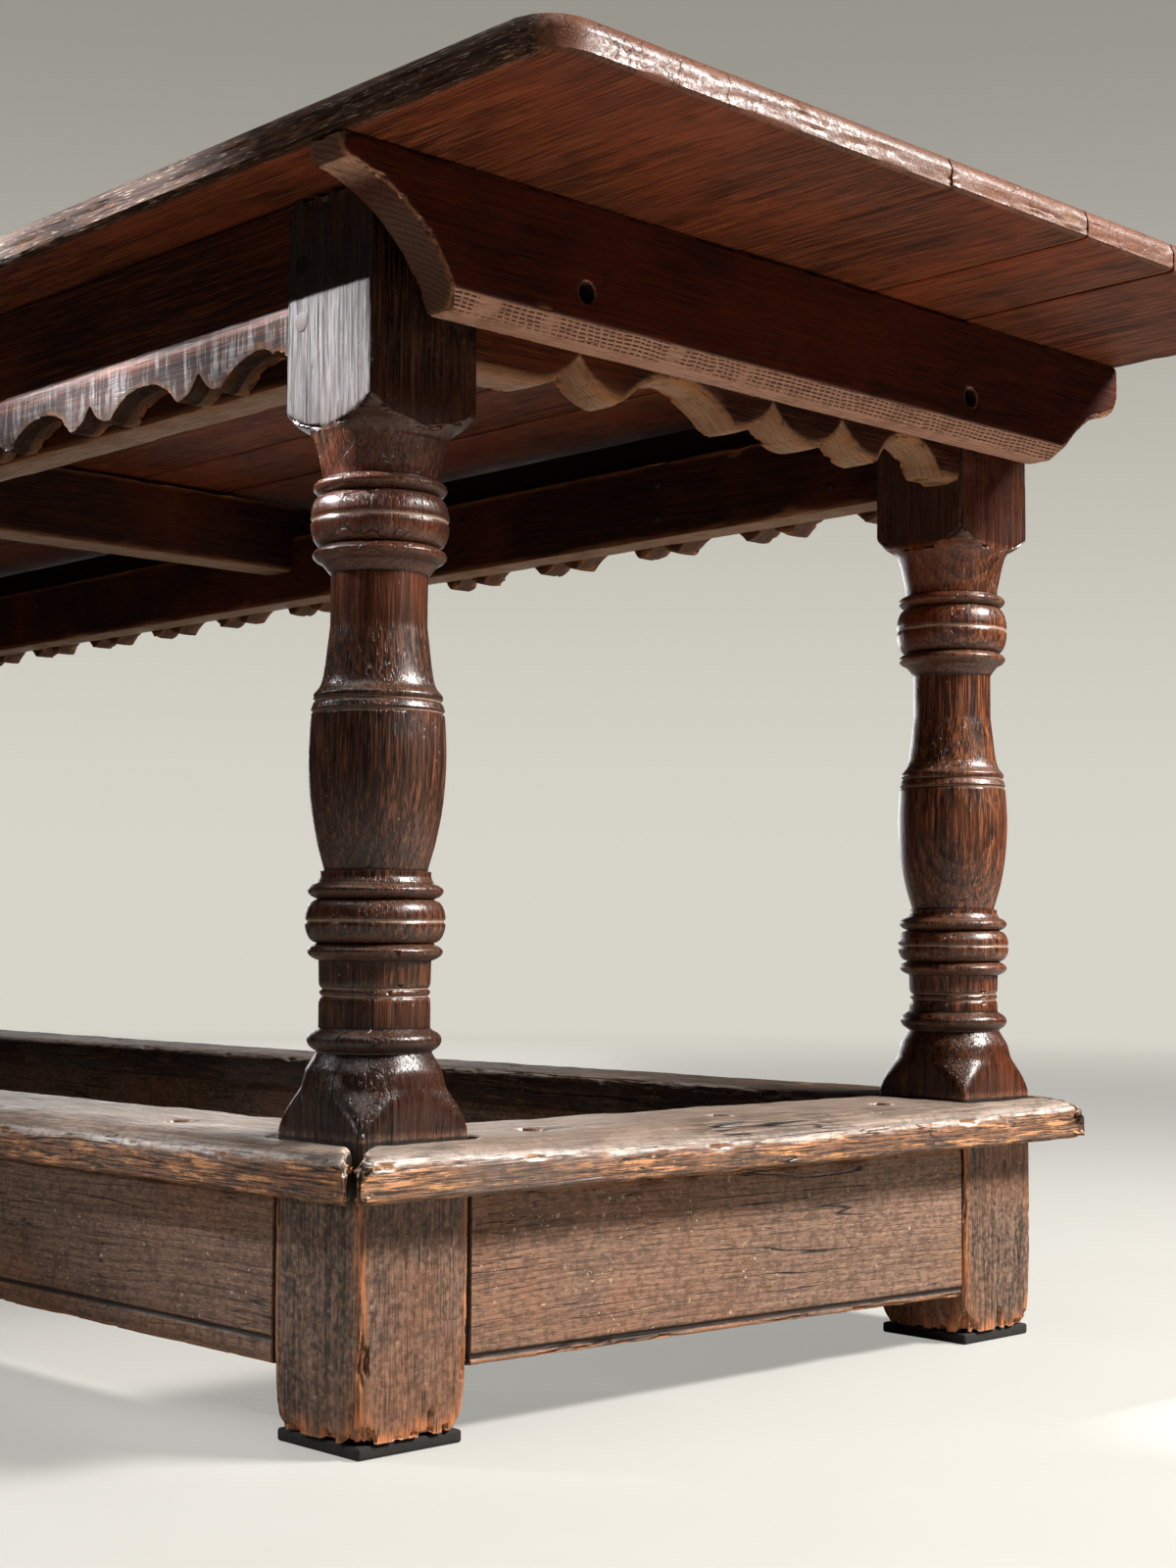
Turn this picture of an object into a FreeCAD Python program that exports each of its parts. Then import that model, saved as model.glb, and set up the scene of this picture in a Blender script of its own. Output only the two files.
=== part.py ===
import FreeCAD, Part
import math
import os

V = FreeCAD.Vector

# Main sizes of the table, in millimetres
frame_height = 766
top_thickness = 24
top_length = 2286
top_width = 790
top_end_overhang = 222
top_side_overhang = 62
leg_block = 86

# General making allowances
overrun = 20
overrun_share = 0.05
joint_clearance = 0.2
peg_clearance = 0.1
seam_gap = 0.8

# Top boards, from the front edge to the back edge; the last board takes what is left
front_board_width = 340
second_board_width = 146
third_board_width = 104
second_board_lift = 1.5
third_board_lift = 1
top_corner_radius = 24
top_arris_radius = 9
top_under_arris = 2.5
tongue_thickness = 6
tongue_width = 24
tongue_stop = 70

# End battens under the top
batten_thickness = 32
batten_depth = 87
batten_standoff = 15
batten_end_inset = 2
batten_front_flat = 10
batten_front_lip = 3
batten_front_lip_fall = 5
batten_front_cove_inset = 89
batten_front_bend_share = 0.36
batten_flat = 20
batten_nose_inset = 27
batten_nose_fall = 24
batten_nose_bulge_share = 0.72
batten_cove_inset = 81
batten_cove_bend_share = 0.42
batten_chamfer_width = 10
batten_chamfer_height = 12
batten_hole_diameter = 12.5
batten_hole_spread = 396
batten_hole_drop = 57
batten_peg_diameter = 11
batten_peg_depth = 45
batten_peg_shares = [0.25, 0.75]

# Feet and square blocks of the legs
pad_thickness = 8
pad_inset = 3
block_arris = 2.5
upper_block_length = 150
shoulder_rise = 15
back_block_extra = 6
back_turning_sag = 15
bell_foot_rise = 6

# Places along the turning, as shares of its height from the lower block to the upper one
cup_foot_share = 0.945
upper_ring_share = 0.9225
neck_ring_share = 0.8235
neck_top_share = 0.795
neck_foot_share = 0.72
flare_share = 0.642
barrel_groove_share = 0.602
barrel_share = 0.53
barrel_lower_share = 0.466
barrel_taper_share = 0.412
barrel_foot_share = 0.365
barrel_ring_share = 0.3355
collar_ring_share = 0.248
collar_line_share = 0.19
base_ring_share = 0.128
bell_swell_share = 0.087
bell_waist_share = 0.066
bell_flare_share = 0.04

# Radii and small sizes of the turning
shoulder_radius = 43
cup_foot_radius = 36.5
ring_radius = 42
ring_half_height = 4.2
ring_edge = 1.6
bead_radius = 43.6
bead_root_radius = 36
groove_depth = 1.6
groove_half_width = 1.3
ring_fillet_radius = 33
neck_radius = 30.4
flare_radius = 34.8
barrel_groove_radius = 40.5
barrel_radius = 42.9
barrel_lower_radius = 41.3
barrel_taper_radius = 37.5
barrel_foot_radius = 32.2
collar_radius = 34.5
bell_top_radius = 35
bell_swell_radius = 40.6
bell_waist_radius = 43
bell_flare_radius = 50.5
barrel_groove_pitch = 7
collar_line_pitch = 4.5

# Scalloped aprons
apron_thickness = 26
end_apron_thickness = 34
apron_setback = 2
apron_top_gap = 2
lobe_drop = 107
long_arch_rise = 18
long_notch_rise = 17
end_arch_rise = 24
end_notch_rise = 23
scallop_repeats = 12.5
front_arch_share = 0.25
back_arch_share = 0.75
back_apron_extra = 6
lobe_offset_share = 0.31
notch_offset_share = 0.5
end_lobe_shares = [0, 0.09, 0.263, 0.482, 0.645, 0.80, 0.95, 1]
end_notch_shares = [0.18, 0.565, 0.717]
end_arch_shares = [0.368, 0.875]

# Apron joints
apron_tenon_length = 54
apron_tenon_thickness = 12
apron_tenon_height = 74
apron_tenon_drop = 18
apron_tenon_cheek = 6
peg_diameter = 13
peg_length = 48
peg_head_height = 1.2
peg_joint_distance = 16
apron_peg_shares = [0.2, 0.68]

# Liner boards behind the long aprons and the bearer under the boards
liner_thickness = 34
liner_top_drop = 36
liner_height = 70
liner_end_gap = 0.5
nail_head_diameter = 9
nail_head_height = 2
nail_shank_diameter = 4
nail_length = 48
nail_pair_spread = 30
nail_pair_shares = [0.04, 0.2, 0.36, 0.52, 0.68, 0.84, 0.96]
bearer_thickness = 46
bearer_depth = 74
bearer_housing = 8

# Stretchers and foot rails
stretcher_foot_height = 44
end_stretcher_sag = 8
stretcher_thickness = 42
stretcher_setback = 1.5
stretcher_arris = 3
scratch_radius = 1.7
front_scratch_rise = 16.5
end_scratch_rise = 6.5
stretcher_tenon_length = 54
stretcher_tenon_thickness = 13
stretcher_tenon_height = 84
stretcher_tenon_cheek = 12
stretcher_peg_shares = [0.17, 0.83]
foot_rail_foot_height = 150
foot_rail_thickness = 35
foot_rail_overhang = 31
foot_rail_inner_reach = 9
foot_rail_inner_round = 8
worn_width_end = 20
worn_width_middle = 44
worn_drop_end = 13
worn_drop_middle = 20
worn_bulge_share = 0.56
wear_station_shares = [0, 0.2, 0.5, 0.8, 1]
wear_amount_shares = [0, 0.55, 1, 0.6, 0]
mitre_gap = 1.2
notch_clearance = 0.4
rail_peg_diameter = 11
rail_peg_depth = 70
long_rail_peg_shares = [0.08, 0.29, 0.5, 0.71, 0.92]
end_rail_peg_shares = [0.14, 0.5, 0.86]

# Places that follow from the sizes above
half = 0.5
full_turn = 360
frame_length = top_length - top_end_overhang * 2
frame_width = top_width - top_side_overhang * 2
leg_spacing_length = frame_length - leg_block
leg_spacing_width = frame_width - leg_block
clear_length = leg_spacing_length - leg_block
clear_width = leg_spacing_width - leg_block
table_height = frame_height + top_thickness
apron_top = frame_height - apron_top_gap
foot_rail_top = foot_rail_foot_height + foot_rail_thickness
half_diagonal = leg_block * math.sqrt(half)
shoulder_height = frame_height - upper_block_length
bell_foot_height = foot_rail_top + bell_foot_rise
right_face = frame_length * half
front_face = -frame_width * half
X_AXIS = V(1, 0, 0)
Y_AXIS = V(0, 1, 0)
Z_AXIS = V(0, 0, 1)
CENTRE = V(0, 0, 0)


def box(x0, x1, y0, y1, z0, z1):
    return Part.makeBox(x1 - x0, y1 - y0, z1 - z0, V(x0, y0, z0))


def turned_about(shape):
    copy = shape.copy()
    copy.rotate(CENTRE, Z_AXIS, full_turn * half)
    return copy


def mirrored(shape, normal):
    return shape.mirror(CENTRE, normal)


def save(name, shapes):
    solids = []
    for shape in shapes:
        solids.extend(shape.Solids)
    if len(solids) == 1:
        solids[0].exportStep("parts/" + name + ".step")
    else:
        Part.makeCompound(solids).exportStep("parts/" + name + ".step")


# A pen that draws an outline of straight lines, arcs and smooth curves
class Outline:
    def __init__(self, place, start):
        self.place = place
        self.start = start
        self.at = start
        self.edges = []

    def line(self, end):
        if end != self.at:
            self.edges.append(Part.makeLine(self.place(self.at), self.place(end)))
        self.at = end

    def arc(self, middle, end):
        arc = Part.Arc(self.place(self.at), self.place(middle), self.place(end))
        self.edges.append(arc.toShape())
        self.at = end

    def curve(self, ends):
        spline = Part.BSplineCurve()
        spline.interpolate([self.place(point) for point in [self.at] + ends])
        self.edges.append(spline.toShape())
        self.at = ends[-1]

    def sweep(self, first_pull, second_pull, end):
        bend = Part.BezierCurve()
        bend.setPoles([self.place(point) for point in (self.at, first_pull, second_pull, end)])
        self.edges.append(bend.toShape())
        self.at = end

    def face(self):
        self.line(self.start)
        return Part.Face(Part.Wire(self.edges))


def flat_x(point):
    return V(0, point[0], point[1])


def flat_y(point):
    return V(point[0], 0, point[1])


# Boards of the top
def top_blank():
    x = top_length * half
    y = top_width * half
    blank = box(-x, x, -y, y, frame_height, table_height)
    upright = [edge for edge in blank.Edges if abs(edge.tangentAt(edge.FirstParameter).z) > half]
    blank = blank.makeFillet(top_corner_radius, upright)
    upper = [edge for edge in blank.Edges if edge.BoundBox.ZMin > table_height - top_under_arris]
    blank = blank.makeFillet(top_arris_radius, upper)
    lower = [edge for edge in blank.Edges if edge.BoundBox.ZMax < frame_height + top_under_arris]
    return blank.makeFillet(top_under_arris, lower)


def board_edges():
    edges = [-top_width * half]
    for width in (front_board_width, second_board_width, third_board_width):
        edges.append(edges[-1] + width)
    return edges + [top_width * half]


def tongue(y, slack):
    x = top_length * half - tongue_stop + slack
    middle = frame_height + top_thickness * half
    reach = tongue_width * half + slack
    thick = tongue_thickness * half + slack
    return box(-x, x, y - reach, y + reach, middle - thick, middle + thick)


def batten_peg_places():
    places = []
    edges = board_edges()
    x = right_face + batten_standoff + batten_thickness * half
    for left, right in zip(edges[:-1], edges[1:]):
        for share in batten_peg_shares:
            places.append((x, left + (right - left) * share))
            places.append((-x, left + (right - left) * share))
    return places


def upright_peg(place, top, depth, diameter, slack):
    radius = diameter * half + slack
    return Part.makeCylinder(radius, depth, V(place[0], place[1], top - depth), Z_AXIS)


def top_boards():
    blank = top_blank()
    edges = board_edges()
    gap = seam_gap * half
    x = top_length
    boards = []
    through = top_thickness + overrun * 2
    top = table_height + overrun
    holes = [upright_peg(p, top, through, batten_peg_diameter, peg_clearance) for p in batten_peg_places()]
    grooves = [tongue(y, joint_clearance) for y in edges[1:-1]]
    lifts = [0, second_board_lift, third_board_lift, 0]
    for number, lift in enumerate(lifts):
        left = edges[number] + (gap if number > 0 else -overrun)
        right = edges[number + 1] + (-gap if number < len(lifts) - 1 else overrun)
        under = frame_height + lift
        slab = blank.common(box(-x, x, left, right, under, table_height + overrun))
        boards.append(slab.cut(grooves + holes))
    return boards


# Battens that clasp the ends of the frame
def batten_outline():
    y = top_width * half - batten_end_inset
    top = frame_height
    foot = top - batten_depth
    pen = Outline(flat_x, (-y, top))
    pen.line((-y, top - batten_front_flat))
    lip = (-y + batten_front_lip, top - batten_front_flat - batten_front_lip_fall)
    pen.line(lip)
    run = batten_front_cove_inset - batten_front_lip
    bend = batten_front_bend_share
    pen.arc((lip[0] + run * (1 - bend), lip[1] - (lip[1] - foot) * bend), (-y + batten_front_cove_inset, foot))
    pen.line((y - batten_cove_inset, foot))
    nose = (y - batten_nose_inset, top - batten_flat - batten_nose_fall)
    run = batten_cove_inset - batten_nose_inset
    bend = batten_cove_bend_share
    pen.arc((nose[0] - run * (1 - bend), nose[1] - (nose[1] - foot) * bend), nose)
    bulge = batten_nose_bulge_share
    swell = top - batten_flat - batten_nose_fall * bulge
    pen.arc((y - batten_nose_inset * (1 - bulge), swell), (y, top - batten_flat))
    pen.line((y, top))
    return pen.face()


def batten_holes(start, length):
    holes = []
    for side in (-half, half):
        place = V(start, side * batten_hole_spread, frame_height - batten_hole_drop)
        holes.append(Part.makeCylinder(batten_hole_diameter * half, length, place, X_AXIS))
    return holes


def batten():
    x = right_face + batten_standoff
    bar = batten_outline().extrude(V(batten_thickness, 0, 0))
    bar.translate(V(x, 0, 0))
    outer = x + batten_thickness
    foot = frame_height - batten_depth
    y = top_width
    pen = Outline(flat_y, (outer - batten_chamfer_width, foot))
    pen.line((outer, foot + batten_chamfer_height))
    pen.line((outer + overrun, foot + batten_chamfer_height))
    pen.line((outer + overrun, foot - overrun))
    pen.line((outer - batten_chamfer_width, foot - overrun))
    wedge = pen.face().extrude(V(0, y * 2, 0))
    wedge.translate(V(0, -y, 0))
    holes = batten_holes(x - overrun, batten_thickness + overrun * 2)
    depth = batten_peg_depth + top_thickness
    for place in batten_peg_places():
        holes.append(upright_peg(place, table_height, depth, batten_peg_diameter, peg_clearance))
    return bar.cut([wedge] + holes)


def batten_pegs():
    depth = batten_peg_depth + top_thickness
    return [upright_peg(p, table_height, depth, batten_peg_diameter, 0) for p in batten_peg_places()]


# The turned leg: a lathe profile cut into a square post
class Turning:
    def __init__(self, block_extra, sag):
        self.top = shoulder_height - block_extra
        self.sag = sag

    def at(self, share):
        slack = share * (1 - share) / (half * half)
        return bell_foot_height + (self.top - bell_foot_height) * share - self.sag * slack

    def ring(self, pen, share):
        height = self.at(share)
        pen.line((ring_radius - ring_edge, height + ring_half_height))
        pen.line((ring_radius, height + ring_half_height - ring_edge))
        pen.line((ring_radius, height - ring_half_height + ring_edge))
        pen.line((ring_radius - ring_edge, height - ring_half_height))

    def bead(self, pen, upper_share, lower_share):
        top = self.at(upper_share) - ring_half_height
        foot = self.at(lower_share) + ring_half_height
        height = (top + foot) * half
        span = top - height - groove_half_width
        swell = bead_radius - bead_root_radius
        slope = math.sqrt(half)
        side = bead_root_radius + swell * slope
        rise = groove_half_width + span * slope
        pen.line((bead_root_radius, top))
        pen.arc((side, height + rise), (bead_radius, height + groove_half_width))
        pen.line((bead_radius - groove_depth, height))
        pen.line((bead_radius, height - groove_half_width))
        pen.arc((side, height - rise), (bead_root_radius, foot))

    def solid(self):
        at = self.at
        reach = half_diagonal
        pen = Outline(flat_y, (0, frame_height))
        pen.line((reach, frame_height))
        pen.line((reach, self.top + shoulder_rise))
        pen.curve([(shoulder_radius, self.top), (cup_foot_radius, at(cup_foot_share))])
        self.ring(pen, upper_ring_share)
        self.bead(pen, upper_ring_share, neck_ring_share)
        self.ring(pen, neck_ring_share)
        pen.line((ring_fillet_radius, at(neck_ring_share) - ring_half_height * 2))
        pen.line((neck_radius, at(neck_top_share)))
        pen.line((neck_radius, at(neck_foot_share)))
        groove = at(barrel_groove_share)
        pen.curve([(flare_radius, at(flare_share)), (barrel_groove_radius, groove + barrel_groove_pitch)])
        turn_groove(pen, barrel_groove_radius, groove + barrel_groove_pitch * half)
        turn_groove(pen, barrel_groove_radius + groove_half_width, groove - barrel_groove_pitch * half)
        pen.curve([(barrel_radius, at(barrel_share)), (barrel_lower_radius, at(barrel_lower_share)),
                   (barrel_taper_radius, at(barrel_taper_share)), (barrel_foot_radius, at(barrel_foot_share))])
        pen.line((collar_radius, at(barrel_foot_share)))
        pen.line((collar_radius, at(barrel_ring_share) + ring_half_height * 2))
        self.ring(pen, barrel_ring_share)
        self.bead(pen, barrel_ring_share, collar_ring_share)
        self.ring(pen, collar_ring_share)
        pen.line((collar_radius, at(collar_ring_share) - ring_half_height))
        line = at(collar_line_share)
        turn_groove(pen, collar_radius, line + collar_line_pitch * half)
        turn_groove(pen, collar_radius, line - collar_line_pitch * half)
        pen.line((collar_radius, at(base_ring_share) + ring_half_height))
        self.ring(pen, base_ring_share)
        pen.line((bell_top_radius, at(base_ring_share) - ring_half_height))
        pen.curve([(bell_swell_radius, at(bell_swell_share)), (bell_waist_radius, at(bell_waist_share)),
                   (bell_flare_radius, at(bell_flare_share)), (reach, bell_foot_height)])
        pen.line((reach, pad_thickness))
        pen.line((0, pad_thickness))
        return pen.face().revolve(CENTRE, Z_AXIS, full_turn)


def turn_groove(pen, radius, height):
    pen.line((radius, height + groove_half_width))
    pen.line((radius - groove_depth, height))
    pen.line((radius, height - groove_half_width))


def square_post():
    r = leg_block * half
    post = box(-r, r, -r, r, pad_thickness, frame_height)
    upright = [edge for edge in post.Edges if abs(edge.tangentAt(edge.FirstParameter).z) > half]
    return post.makeFillet(block_arris, upright)


def domed_peg(x, y, z, along):
    radius = peg_diameter * half
    ball = (radius * radius + peg_head_height * peg_head_height) / (peg_head_height * 2)
    lean = math.asin(radius / ball) * half
    crown = V(0, 0, -peg_head_height)
    shoulder = V(ball * math.sin(lean), 0, ball * (1 - math.cos(lean)) - peg_head_height)
    rim = V(radius, 0, 0)
    far_rim = V(radius, 0, peg_length)
    far_end = V(0, 0, peg_length)
    edges = [Part.Arc(crown, shoulder, rim).toShape()]
    edges.append(Part.makeLine(rim, far_rim))
    edges.append(Part.makeLine(far_rim, far_end))
    edges.append(Part.makeLine(far_end, crown))
    peg = Part.Face(Part.Wire(edges)).revolve(CENTRE, Z_AXIS, full_turn)
    peg.Placement = FreeCAD.Placement(V(x, y, z), FreeCAD.Rotation(Z_AXIS, along))
    return peg


# Pegs of the front right leg: long joints are pegged from the front, end joints from the right end
def apron_peg_heights():
    low = apron_top - apron_tenon_drop - apron_tenon_height
    return [low + apron_tenon_height * share for share in apron_peg_shares]


def stretcher_peg_heights():
    return [stretcher_tenon_low() + stretcher_tenon_height * share for share in stretcher_peg_shares]


def leg_pegs(heights, maker):
    inner_x = right_face - leg_block + peg_joint_distance
    inner_y = front_face + leg_block - peg_joint_distance
    pegs = []
    for z in heights:
        pegs.append(maker(inner_x, front_face, z, Y_AXIS))
        pegs.append(maker(right_face, inner_y, z, X_AXIS * -1))
    return pegs


def peg_hole(x, y, z, along):
    radius = peg_diameter * half + peg_clearance
    return Part.makeCylinder(radius, peg_length + overrun, V(x, y, z) - along * overrun, along)


def apron_tenon_box(slack):
    y = front_face + apron_setback + apron_tenon_cheek
    x = right_face - leg_block
    z = apron_top - apron_tenon_drop
    tip = x + apron_tenon_length + slack
    cheek = y + apron_tenon_thickness + slack
    return box(x - overrun, tip, y - slack, cheek, z - apron_tenon_height - slack, z + slack)


def end_apron_tenon_box(slack):
    x = right_face - apron_setback - apron_tenon_cheek
    y = front_face + leg_block
    z = apron_top - apron_tenon_drop
    tip = y - apron_tenon_length - slack
    cheek = x - apron_tenon_thickness - slack
    return box(cheek, x + slack, tip, y + overrun, z - apron_tenon_height - slack, z + slack)


def stretcher_tenon_low():
    height = foot_rail_foot_height - stretcher_foot_height
    return stretcher_foot_height + (height - stretcher_tenon_height) * half


def stretcher_tenon_box(slack):
    y = front_face + stretcher_setback + stretcher_tenon_cheek
    x = right_face - leg_block
    low = stretcher_tenon_low()
    tip = x + stretcher_tenon_length + slack
    cheek = y + stretcher_tenon_thickness + slack
    return box(x - overrun, tip, y - slack, cheek, low - slack, low + stretcher_tenon_height + slack)


def end_stretcher_tenon_box(slack):
    x = right_face - stretcher_setback - stretcher_tenon_cheek
    y = front_face + leg_block
    low = stretcher_tenon_low()
    tip = y - stretcher_tenon_length - slack
    cheek = x - stretcher_tenon_thickness - slack
    return box(cheek, x + slack, tip, y + overrun, low - slack, low + stretcher_tenon_height + slack)


def leg(turning):
    post = turning.solid().common(square_post())
    post.translate(V(leg_spacing_length * half, -leg_spacing_width * half, 0))
    cuts = [apron_tenon_box(joint_clearance), end_apron_tenon_box(joint_clearance)]
    cuts += [stretcher_tenon_box(joint_clearance), end_stretcher_tenon_box(joint_clearance)]
    cuts += leg_pegs(apron_peg_heights() + stretcher_peg_heights(), peg_hole)
    return post.cut(cuts)


def four_corners(shapes):
    all_four = []
    for shape in shapes:
        back = mirrored(shape, Y_AXIS)
        all_four += [shape, back, mirrored(shape, X_AXIS), mirrored(back, X_AXIS)]
    return all_four


# Scalloped lower edges: round lobes, open arches and sharp notches
def scallop(pen, target, kind, last_kind):
    here = pen.at
    if kind == "lobe" and last_kind == "lobe":
        pen.line(target)
        return
    flat_start = last_kind == "arch" or (last_kind == "lobe" and kind == "notch")
    flat = here if flat_start else target
    sharp = target if flat_start else here
    run = sharp[0] - flat[0]
    rise = sharp[1] - flat[1]
    radius = (run * run + rise * rise) / (abs(rise) * 2)
    angle = math.atan2(abs(run), radius - abs(rise)) * half
    middle_x = flat[0] + math.copysign(radius * math.sin(angle), run)
    middle_z = flat[1] + math.copysign(radius * (1 - math.cos(angle)), rise)
    pen.arc((middle_x, middle_z), target)


def scalloped_board(places, rises, start, end, thickness):
    places = sorted(places)
    levels = {kind: frame_height - lobe_drop + rise for kind, rise in rises.items()}
    first = places[0]
    pen = Outline(flat_y, (first[0], levels[first[1]]))
    last_kind = first[1]
    for where, kind in places[1:]:
        scallop(pen, (where, levels[kind]), kind, last_kind)
        last_kind = kind
    pen.line((places[-1][0], apron_top))
    pen.line((first[0], apron_top))
    board = pen.face().extrude(V(0, thickness, 0))
    window = box(start, end, -overrun, thickness + overrun, 0, table_height)
    return board.common(window)


def long_scallops(arch_share):
    period = clear_length / scallop_repeats
    places = []
    left = -clear_length * half
    for number in range(-1, math.ceil(scallop_repeats) + 1):
        arch = left + (number + arch_share) * period
        places.append((arch, "arch"))
        places.append((arch + lobe_offset_share * period, "lobe"))
        places.append((arch + notch_offset_share * period, "notch"))
        places.append((arch + (1 - lobe_offset_share) * period, "lobe"))
    return places


def end_scallops():
    left = -clear_width * half
    places = [(left + share * clear_width, "lobe") for share in end_lobe_shares]
    places += [(left + share * clear_width, "notch") for share in end_notch_shares]
    places += [(left + share * clear_width, "arch") for share in end_arch_shares]
    return places


def bearer_box(slack, top):
    x = bearer_thickness * half + slack
    y = frame_width * half - apron_setback - apron_thickness + bearer_housing + slack
    return box(-x, x, -y, y, frame_height - liner_top_drop, top)


def long_apron(arch_share, extra):
    rises = {"lobe": -extra, "arch": long_arch_rise - extra, "notch": long_notch_rise - extra}
    end = clear_length * half
    board = scalloped_board(long_scallops(arch_share), rises, -end, end, apron_thickness)
    board.translate(V(0, front_face + apron_setback, 0))
    tenon = apron_tenon_box(0)
    board = board.fuse([tenon, mirrored(tenon, X_AXIS)]).removeSplitter()
    holes = leg_pegs(apron_peg_heights(), peg_hole)[::2]
    holes += [mirrored(hole, X_AXIS) for hole in holes]
    return board.cut(holes + nail_holes() + [bearer_box(joint_clearance, table_height)])


def end_apron():
    rises = {"lobe": 0, "arch": end_arch_rise, "notch": end_notch_rise}
    end = clear_width * half
    board = scalloped_board(end_scallops(), rises, -end, end, end_apron_thickness)
    board.rotate(CENTRE, Z_AXIS, full_turn * half * half)
    board.translate(V(right_face - apron_setback, 0, 0))
    tenon = end_apron_tenon_box(0)
    board = board.fuse([tenon, mirrored(tenon, Y_AXIS)]).removeSplitter()
    holes = leg_pegs(apron_peg_heights(), peg_hole)[1::2]
    holes += [mirrored(hole, Y_AXIS) for hole in holes]
    inside = right_face - apron_setback - end_apron_thickness - overrun
    return board.cut(holes + batten_holes(inside, end_apron_thickness + overrun * 2))


# Liner boards, their nails and the bearer
def liner_face():
    return front_face + apron_setback + apron_thickness


def nail_places():
    places = []
    length = clear_length - liner_end_gap * 2
    top = frame_height - liner_top_drop
    middle = top - liner_height * half
    for share in nail_pair_shares:
        x = -length * half + length * share
        places.append((x, middle + nail_pair_spread * half))
        places.append((x, middle - nail_pair_spread * half))
    return places


def nail(x, z):
    face = liner_face() + liner_thickness
    shank = Part.makeCylinder(nail_shank_diameter * half, nail_length, V(x, face, z), Y_AXIS * -1)
    radius = nail_head_diameter * half
    ball = (radius * radius + nail_head_height * nail_head_height) / (nail_head_height * 2)
    dome = Part.makeSphere(ball, V(x, face + nail_head_height - ball, z))
    head = Part.makeCylinder(radius, nail_head_height, V(x, face, z), Y_AXIS).common(dome)
    return shank.fuse(head).removeSplitter()


def nail_holes():
    radius = nail_shank_diameter * half + peg_clearance
    face = liner_face() + liner_thickness
    return [Part.makeCylinder(radius, nail_length, V(x, face, z), Y_AXIS * -1) for x, z in nail_places()]


def liner():
    x = clear_length * half - liner_end_gap
    top = frame_height - liner_top_drop
    face = liner_face()
    board = box(-x, x, face, face + liner_thickness, top - liner_height, top)
    return board.cut(nail_holes())


def bearer():
    upper = bearer_box(0, apron_top)
    x = bearer_thickness * half
    y = -(liner_face() + liner_thickness)
    low = frame_height - bearer_depth
    lower = box(-x, x, -y, y, low, apron_top)
    return upper.fuse(lower).removeSplitter()


# Stretchers with a scratched line along the lower edge
def stretcher_bar(length, face, scratch_rise, sag):
    x = length * half
    low = stretcher_foot_height
    pen = Outline(flat_y, (-x, low))
    pen.line((x, low - sag))
    pen.line((x, foot_rail_foot_height))
    pen.line((-x, foot_rail_foot_height))
    bar = pen.face().extrude(V(0, stretcher_thickness, 0))
    bar.translate(V(0, face, 0))
    lowest = [edge for edge in bar.Edges if edge.BoundBox.ZMax < low + stretcher_arris]
    front = [edge for edge in lowest if edge.BoundBox.YMax < face + stretcher_arris]
    bar = bar.makeFillet(stretcher_arris, front)
    slope = V(length, 0, -sag)
    start = V(-x, face, low + scratch_rise) - slope * overrun_share
    return bar.cut(Part.makeCylinder(scratch_radius, slope.Length * (1 + overrun_share * 2), start, slope))


def rail_peg_places(length, shares, face):
    y = face + stretcher_thickness * half
    return [(-length * half + length * share, y) for share in shares]


def rail_pegs(length, shares, face, slack):
    places = rail_peg_places(length, shares, face)
    return [upright_peg(p, foot_rail_top, rail_peg_depth, rail_peg_diameter, slack) for p in places]


def quarter_turn(shapes):
    turned = []
    for shape in shapes:
        copy = shape.copy()
        copy.rotate(CENTRE, Z_AXIS, full_turn * half * half)
        turned.append(copy)
    return turned


def front_stretcher():
    face = front_face + stretcher_setback
    bar = stretcher_bar(clear_length, face, front_scratch_rise, 0)
    tenon = stretcher_tenon_box(0)
    bar = bar.fuse([tenon, mirrored(tenon, X_AXIS)]).removeSplitter()
    holes = leg_pegs(stretcher_peg_heights(), peg_hole)[::2]
    holes += [mirrored(hole, X_AXIS) for hole in holes]
    holes += rail_pegs(clear_length, long_rail_peg_shares, face, peg_clearance)
    return bar.cut(holes)


def right_stretcher():
    face = -right_face + stretcher_setback
    bar = stretcher_bar(clear_width, face, end_scratch_rise, end_stretcher_sag)
    bar = quarter_turn([bar])[0]
    tenon = end_stretcher_tenon_box(0)
    bar = bar.fuse([tenon, mirrored(tenon, Y_AXIS)]).removeSplitter()
    holes = leg_pegs(stretcher_peg_heights(), peg_hole)[1::2]
    holes += [mirrored(hole, Y_AXIS) for hole in holes]
    holes += quarter_turn(rail_pegs(clear_width, end_rail_peg_shares, face, peg_clearance))
    return bar.cut(holes)


# Foot rails: wide caps worn round by feet, mitred at the corners and notched round the legs
def worn_section(x, wear, face):
    outer = face - foot_rail_overhang
    inner = face + leg_block + foot_rail_inner_reach
    low = foot_rail_foot_height
    top = foot_rail_top
    width = worn_width_end + (worn_width_middle - worn_width_end) * wear
    drop = worn_drop_end + (worn_drop_middle - worn_drop_end) * wear
    bend = worn_bulge_share

    def place(point):
        return V(x, point[0], point[1])

    pen = Outline(place, (outer, low))
    pen.line((outer, top - drop))
    pen.sweep((outer, top - drop * (1 - bend)), (outer + width * (1 - bend), top), (outer + width, top))
    pen.line((inner - foot_rail_inner_round, top))
    shift = foot_rail_inner_round * (1 - math.sqrt(half))
    pen.arc((inner - shift, top - shift), (inner, top - foot_rail_inner_round))
    pen.line((inner, low))
    pen.line((outer, low))
    return Part.Wire(pen.edges)


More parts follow.
